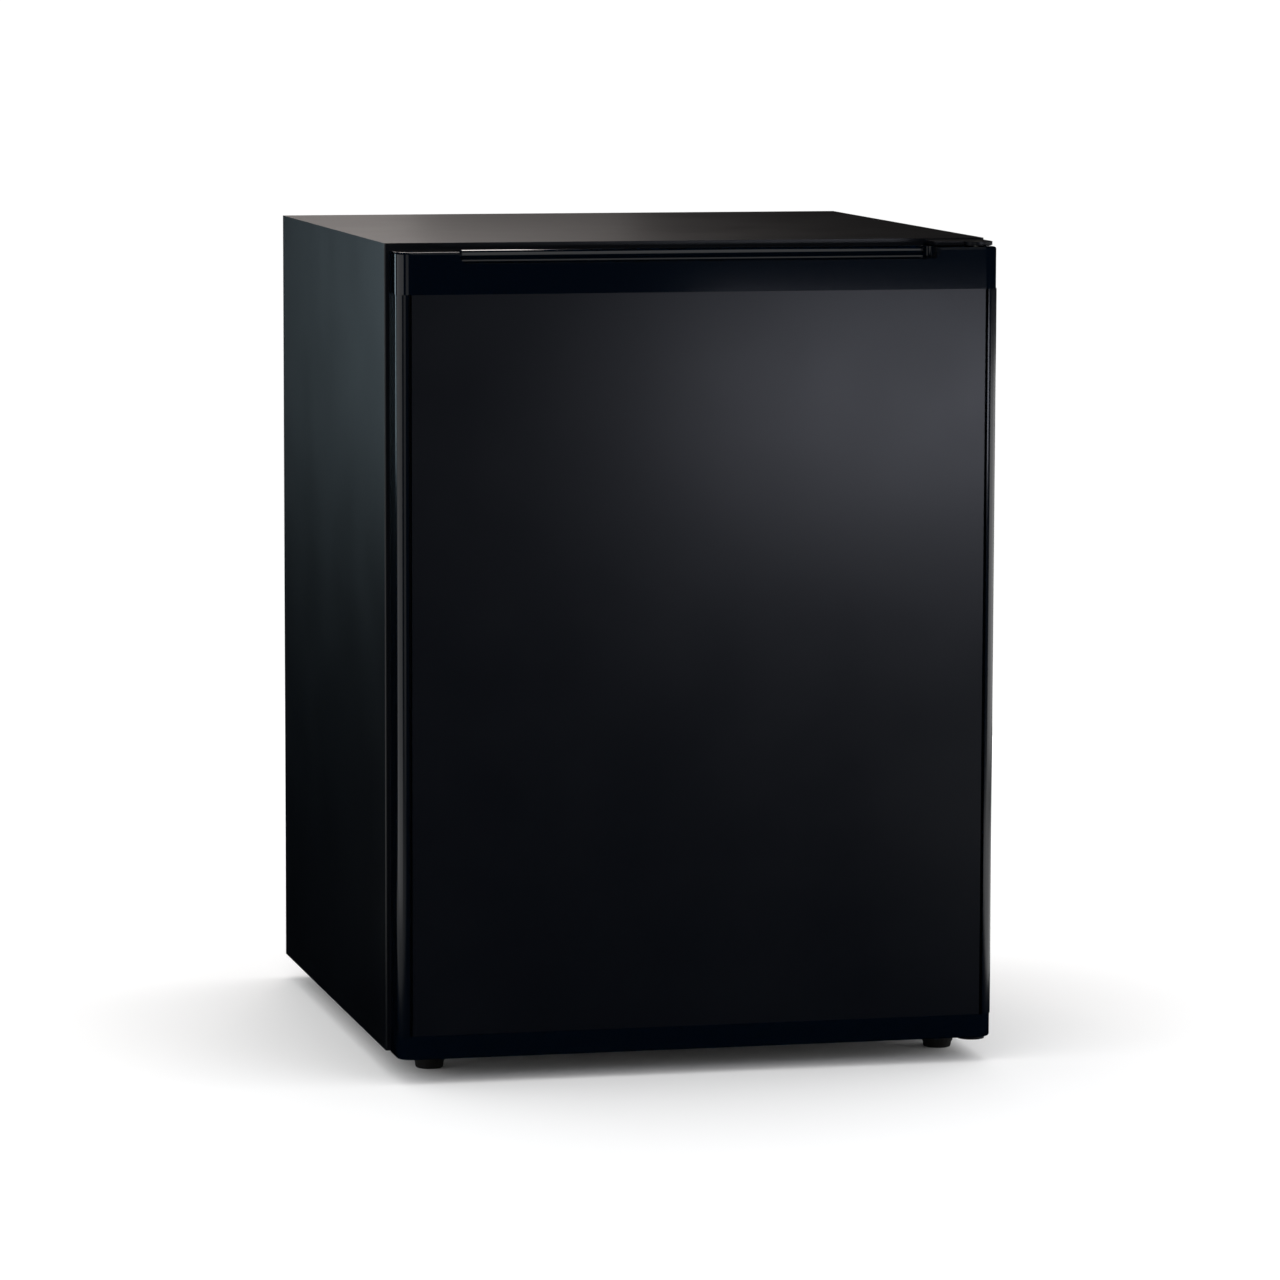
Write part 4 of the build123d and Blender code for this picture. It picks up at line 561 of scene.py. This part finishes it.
def screw_points(axis, head, rise, shank, reach):
    """A pan-head screw: rows of rings from the middle of its head to its tip, and how many rows they are.
    The head is a flattened dome, less a cross recess whose arms are as deep as their edge ramps allow."""
    angle = ring(SCREW_SIDES)[None]
    radius = np.linspace(0, 1, SCREW_HEAD_RINGS)[:, None] * head
    across, along = np.abs(radius * np.cos(angle)), np.abs(radius * np.sin(angle))
    arm, length, edge = CROSS_ARM * head, CROSS_LENGTH * head, CROSS_EDGE * head
    first = np.clip((arm - across) / edge, 0, 1) * np.clip((length - along) / edge, 0, 1)
    second = np.clip((arm - along) / edge, 0, 1) * np.clip((length - across) / edge, 0, 1)
    dome = rise * (1 - DOME_FALL * (radius / head) ** 4) - CROSS_DEPTH * rise * np.maximum(first, second)
    wall_radius = np.array([head, head, shank, shank, 0])[:, None]
    wall_height = np.array([RIM_WALL * rise, 0, 0, -reach, -reach])[:, None]
    rings = np.concatenate([np.broadcast_to(radius, dome.shape), np.repeat(wall_radius, SCREW_SIDES, 1)])
    heights = np.concatenate([dome, np.repeat(wall_height, SCREW_SIDES, 1)])
    return turned(rings, heights, np.broadcast_to(angle, rings.shape), axis), len(rings)


def add_screws(name, places, axis, screw):
    """Screws of one size at several places on the cabinet."""
    points, rows = screw_points(axis, **screw)
    faces = copied_faces(grid_faces(rows, SCREW_SIDES), len(places), rows * SCREW_SIDES)
    return make_piece(name, copies(points, places), faces, zinc_plated_steel, "cabinet")


BEAD_SIDES, RIPPLE_LENGTH, RIPPLE_STEPS = 10, 2, 6
RIPPLE_SWELL, RIPPLE_SLANT = 0.16, 0.6


def weld_bead(name, place, axis, radius, size):
    """A weld run: a ring whose round section swells with each ripple, one for every two millimetres."""
    ripples = round(2 * np.pi * radius / RIPPLE_LENGTH)
    run = ring(RIPPLE_STEPS * ripples)[:, None]
    section = ring(BEAD_SIDES)[None]
    swell = size * (1 + RIPPLE_SWELL * np.cos(ripples * run + RIPPLE_SLANT * np.sin(section)))
    out = radius + swell * np.cos(section)
    along = swell * np.sin(section)
    first, second = out * np.cos(run), out * np.sin(run)
    rows = {"x": (along, first, second), "z": (first, second, along)}
    points = np.stack(rows[axis], -1) + np.array(place)
    faces = grid_faces(len(run), BEAD_SIDES, closed=True)
    return make_piece(name, points, faces, baked_black_paint, "cabinet")


FOOT_SIDES, STUD_RINGS = 64, 120
FLUTE_WAVES, FLUTE_DEPTH, FLUTE_SHARPNESS = 10, 0.55, 8
THREAD_RADIUS, THREAD_DEPTH, THREAD_PITCH = 4.0, 0.6, 1.25
# Rings up the pad: the share of its height, the radius, and 1 where it is fluted
PAD_RINGS = np.array([(0, 0, 0), (0, 8.4, 0), (0.025, 8.9, 0), (0.08, 9.2, 0), (0.25, 9.5, 0),
                      (0.33, 10.4, 1), (0.8, 10.9, 1), (0.88, 11.0, 0), (0.97, 10.8, 0), (1, 10.3, 0),
                      (1, 4.0, 0)])


def levelling_foot(side, pad_top):
    """A levelling foot: rings up a fluted rubber pad, then up a stud whose radius follows a screw thread.
    The thread's depth is a saw-tooth of height less one turn's share of the angle, folded to a triangle."""
    node = "front_foot_" + side
    low, high = node_box(node)
    angle = ring(FOOT_SIDES)[None]
    share, pad, grip = PAD_RINGS.T[:, :, None]
    pad = pad - FLUTE_DEPTH * grip * np.cos(FLUTE_WAVES * angle) ** FLUTE_SHARPNESS
    climb = np.linspace(pad_top, high[2], STUD_RINGS)[:, None]
    turn = np.mod(climb / THREAD_PITCH - angle / (2 * np.pi), 1)
    thread = THREAD_RADIUS - THREAD_DEPTH * np.abs(2 * turn - 1)
    radius = np.concatenate([pad, thread, np.zeros((1, FOOT_SIDES))])
    height = np.repeat(np.concatenate([share * pad_top, climb, high[2].reshape(1, 1)]), FOOT_SIDES, 1)
    points = turned(radius, -height, np.broadcast_to(angle, radius.shape), "z")
    points = points + (low + high) / 2 * (1, 1, 0)
    faces = grid_faces(len(radius), FOOT_SIDES)
    piece = make_piece("levelling_foot_" + side, points, faces, moulded_rubber, node)
    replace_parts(piece, node)


DOTS, DOT_SIDES = 10, 24
DOT_SMALLEST, DOT_LARGEST, DOT_CIRCLE = 0.35, 0.8, 11.2
DIAL_SWING = math.radians(135)
# Rings of a dot from its middle outwards: the share of its radius, and how far it stands off the housing
DOT_RINGS = np.array([(0, 0.06), (0.5, 0.06), (0.85, 0.05), (1.0, 0.02), (1.0, -0.05)])


def dial_marks():
    """Printed dots round the knob: low domes on an arc of 270 degrees that grow towards the coldest end."""
    low, high = node_box("thermostat_knob")
    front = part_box("control_housing")[0][1] / MM
    swing = np.linspace(-DIAL_SWING, DIAL_SWING, DOTS)[:, None, None]
    dot = np.linspace(DOT_SMALLEST, DOT_LARGEST, DOTS)[:, None, None]
    share, rise = DOT_RINGS.T[:, None, :, None]
    angle = ring(DOT_SIDES)[None, None]
    x = (low[0] + high[0]) / 2 + DOT_CIRCLE * np.sin(swing) + dot * share * np.cos(angle)
    z = (low[2] + high[2]) / 2 + DOT_CIRCLE * np.cos(swing) + dot * share * np.sin(angle)
    points = np.stack([x, np.broadcast_to(front - rise, x.shape), z], -1)
    rows = len(DOT_RINGS)
    faces = copied_faces(grid_faces(rows, DOT_SIDES), DOTS, rows * DOT_SIDES)
    make_piece("dial_marks", points, faces, pad_printed_ink, "cabinet")


POINTER_ROWS, POINTER_SIDES = 25, 24
POINTER_HALF_WIDTH, POINTER_HALF_DEPTH, POINTER_HALF_LENGTH = 0.7, 0.32, 2.7
POINTER_INSET, POINTER_RISE = 0.5, 6.0


def knob_pointer():
    """The inlay in the knob's slot: a bar with a super-ellipse section shrinking to nothing at each end."""
    low, high = node_box("thermostat_knob")
    along = np.linspace(-1, 1, POINTER_ROWS)[:, None]
    angle = ring(POINTER_SIDES)[None]
    size = (1 - along ** 8) ** 0.5
    across = POINTER_HALF_WIDTH * size * np.sign(np.cos(angle)) * np.abs(np.cos(angle)) ** 0.5
    depth = POINTER_HALF_DEPTH * size * np.sign(np.sin(angle)) * np.abs(np.sin(angle)) ** 0.5
    height = (low[2] + high[2]) / 2 + POINTER_RISE + POINTER_HALF_LENGTH * along
    points = np.stack([(low[0] + high[0]) / 2 + across, low[1] + POINTER_INSET + depth,
                       np.broadcast_to(height, across.shape)], -1)
    faces = grid_faces(POINTER_ROWS, POINTER_SIDES)
    make_piece("knob_pointer", points, faces, pad_printed_ink, "thermostat_knob")


PIN_SIDES, PIN_SPACING, SOCKET_DEPTH = 32, 7, 16
# Rings along a pin: its radius, and the distance from the socket's floor
PIN_RINGS = np.array([(0, 0.05), (1.56, 0.05), (1.56, 13.6), (1.45, 14.0), (1.1, 14.3), (0.6, 14.45),
                      (0, 14.5)])


def inlet_pins():
    """The bright pins in the mains inlet: rings along each pin, with a rounded tip."""
    low, high = node_box("mains_inlet")
    radius, height = np.repeat(PIN_RINGS.T[:, :, None], PIN_SIDES, 2)
    points = turned(radius, height, np.broadcast_to(ring(PIN_SIDES)[None], radius.shape), "y")
    middle_x, middle_z = (low[0] + high[0]) / 2, (low[2] + high[2]) / 2
    places = [(middle_x + step, high[1] - SOCKET_DEPTH, middle_z) for step in (-PIN_SPACING, 0, PIN_SPACING)]
    rows = len(PIN_RINGS)
    faces = copied_faces(grid_faces(rows, PIN_SIDES), len(places), rows * PIN_SIDES)
    make_piece("inlet_pins", copies(points, places), faces, nickelled_brass, "cabinet")


def corner_places(node, margin, depth):
    """The four corners of a node seen from behind, moved in by a margin, at a depth."""
    low, high = node_box(node)
    columns, levels = ((low[axis] + margin, high[axis] - margin) for axis in (0, 2))
    return [(x, depth, z) for x in columns for z in levels]


def hinge_screw_places():
    """Where the heads of the two hinge screws meet the hinge plate."""
    low, high = node_box("hinge_screws")
    head, rise = HINGE_SCREW["head"], HINGE_SCREW["rise"]
    return [((low[0] + high[0]) / 2, y, low[2] + rise) for y in (low[1] + head, high[1] - head)]


FOOT_PAD_TOPS = {"left": 16, "right": 13.5}
UNIT_DEPTH = 170.5
# Welds on the cooling unit: x and z, the tube's axis, the ring's radius and the bead's
WELDS = {
    "weld_boiler": (-132, 384, "z", 9.3, 1.3),
    "weld_condenser": (95, 464.5, "z", 8.6, 1.2),
    "weld_evaporator": (-95, 408.5, "z", 8.6, 1.2),
    "weld_coil": (85, 116, "z", 9.0, 1.2),
    "weld_vessel_left": (-50, 84, "x", 26.0, 1.4),
    "weld_vessel_right": (110, 84, "x", 26.0, 1.4),
    "weld_liquid": (-60, 76, "x", 7.2, 1.1),
}

bellows_gasket()
for side, pad_top in FOOT_PAD_TOPS.items():
    levelling_foot(side, pad_top)
dial_marks()
knob_pointer()
inlet_pins()
bracket_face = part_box("unit_screws")[1][1] / MM - BRACKET_SCREW["rise"]
bracket_places = corner_places("unit_screws", BRACKET_SCREW["head"], bracket_face)
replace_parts(add_screws("bracket_screws", bracket_places, "y", BRACKET_SCREW), "unit_screws")
cover_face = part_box("electronics_cover")[1][1] / MM
cover_places = corner_places("electronics_cover", COVER_SCREW_MARGIN, cover_face)
add_screws("cover_screws", cover_places, "y", COVER_SCREW)
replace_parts(add_screws("hinge_plate_screws", hinge_screw_places(), "z", HINGE_SCREW), "hinge_screws")
for name, (x, z, axis, radius, size) in WELDS.items():
    weld_bead(name, (x, UNIT_DEPTH, z), axis, radius, size)


# Camera at the photograph's angle

CAMERA_YAW, CAMERA_PITCH, CAMERA_ROLL = (math.radians(angle) for angle in (-13.33, 6.67, 0.17))
CAMERA_TARGET = Vector((0, -70.5, 276)) * MM
CAMERA_DISTANCE = 3.999
CAMERA_SENSOR, CAMERA_LENS = 36, 168.0
CAMERA_SHIFT = (-0.0085, -0.0086)


def aim_camera():
    """The photograph's camera: its angles, distance and lens were fitted to the fridge's edges."""
    level = math.cos(CAMERA_PITCH)
    back = Vector((math.sin(CAMERA_YAW) * level, -math.cos(CAMERA_YAW) * level, math.sin(CAMERA_PITCH)))
    right = Vector((math.cos(CAMERA_YAW), math.sin(CAMERA_YAW), 0))
    up = back.cross(right)
    across = right * math.cos(CAMERA_ROLL) + up * math.sin(CAMERA_ROLL)
    upright = up * math.cos(CAMERA_ROLL) - right * math.sin(CAMERA_ROLL)
    data = bpy.data.cameras.new("camera")
    data.sensor_width = CAMERA_SENSOR
    data.lens = CAMERA_LENS
    data.shift_x, data.shift_y = CAMERA_SHIFT
    camera = bpy.data.objects.new("camera", data)
    camera.matrix_world = Matrix((across, upright, back)).transposed().to_4x4()
    camera.location = CAMERA_TARGET + back * CAMERA_DISTANCE
    bpy.context.scene.collection.objects.link(camera)
    bpy.context.scene.camera = camera


aim_camera()


# Studio

MIDDLE = Vector((0, -50, 270)) * MM
FLOOR_HALF = 12.0
SURROUND_STRENGTH = 1.12
WHITE, WARM = "#ffffff", "#fff6f2"


def softbox(name, place, aim, size, power, tint):
    """A rectangular soft light at a place, facing a point; metres and watts."""
    data = bpy.data.lights.new(name, "AREA")
    data.shape = "RECTANGLE"
    data.size, data.size_y = size
    data.energy = power
    data.color = linear(tint)[:3]
    light = bpy.data.objects.new(name, data)
    light.location = place
    light.rotation_euler = (Vector(aim) - Vector(place)).to_track_quat("-Z", "Y").to_euler()
    light.visible_camera = False
    bpy.context.scene.collection.objects.link(light)


def around(azimuth, elevation, distance):
    """A place round the fridge: degrees from the front towards the hinge side, degrees up, and metres."""
    turn, rise = math.radians(azimuth), math.radians(elevation)
    level = math.cos(rise)
    return MIDDLE + distance * Vector((math.sin(turn) * level, -math.cos(turn) * level, math.sin(rise)))


# Lights: place, aim, width and height, watts and tint; the floor cards lie on the floor and face up
LIGHTS = {
    "front_right_box": (around(23, 7, 0.95), MIDDLE, (0.38, 0.12), 0.62, "#edf0ff"),
    "front_left_box": (around(-32, 6, 1.6), MIDDLE, (0.5, 0.9), 0.5, WHITE),
    "left_box": (around(-84, 2, 0.85), MIDDLE, (0.9, 0.6), 1.3, WHITE),
    "left_floor_card": ((-1.05, -0.3, 0.004), (-1.05, -0.3, 1.0), (1.1, 1.5), 1.6, WHITE),
    "right_box": (around(78, -2.7, 1.3), MIDDLE, (1.5, 0.34), 3.2, WHITE),
    "right_rear_box": (around(140, -3.2, 1.5), MIDDLE, (1.2, 0.33), 1.65, WHITE),
    "right_floor_card": ((0.85, -0.1, 0.004), (0.85, -0.1, 1.0), (0.75, 2.1), 7.0, WHITE),
    "front_high_box": (around(10, 24, 2.0), MIDDLE, (1.2, 0.35), 0.9, WHITE),
    "overhead_box": ((0.1, -0.3, 1.9), MIDDLE, (1.0, 0.8), 1.8, WHITE),
    "rear_high_box": (around(180, 45, 1.6), MIDDLE, (0.45, 0.45), 4.0, WARM),
    "rear_low_box": (around(180, 16, 2.0), MIDDLE, (0.45, 0.4), 0.22, WARM),
    "rear_wide_box": (around(177, 16, 2.05), MIDDLE, (0.7, 0.4), 0.16, WARM),
    "rear_left_box": (around(-147, 5.5, 2.0), MIDDLE, (0.5, 0.5), 1.25, "#d9f3ff"),
}


def build_studio():
    """A pale floor, a white surround that only lights matt surfaces, and soft lights for the gloss."""
    corners = [(x * FLOOR_HALF, y * FLOOR_HALF, 0) for x, y in ((-1, -1), (1, -1), (1, 1), (-1, 1))]
    mesh = bpy.data.meshes.new("floor")
    mesh.from_pydata(corners, [], [(0, 1, 2, 3)])
    mesh.materials.append(studio_floor())
    floor = bpy.data.objects.new("floor", mesh)
    floor.visible_glossy = False
    bpy.context.scene.collection.objects.link(floor)
    world = bpy.data.worlds.new("studio")
    world.use_nodes = True
    background = world.node_tree.nodes["Background"]
    background.inputs["Color"].default_value = linear(WHITE)
    background.inputs["Strength"].default_value = SURROUND_STRENGTH
    world.cycles_visibility.glossy = False
    bpy.context.scene.world = world
    bpy.context.scene.view_settings.view_transform = "Standard"
    for name, light in LIGHTS.items():
        softbox(name, *light)


build_studio()
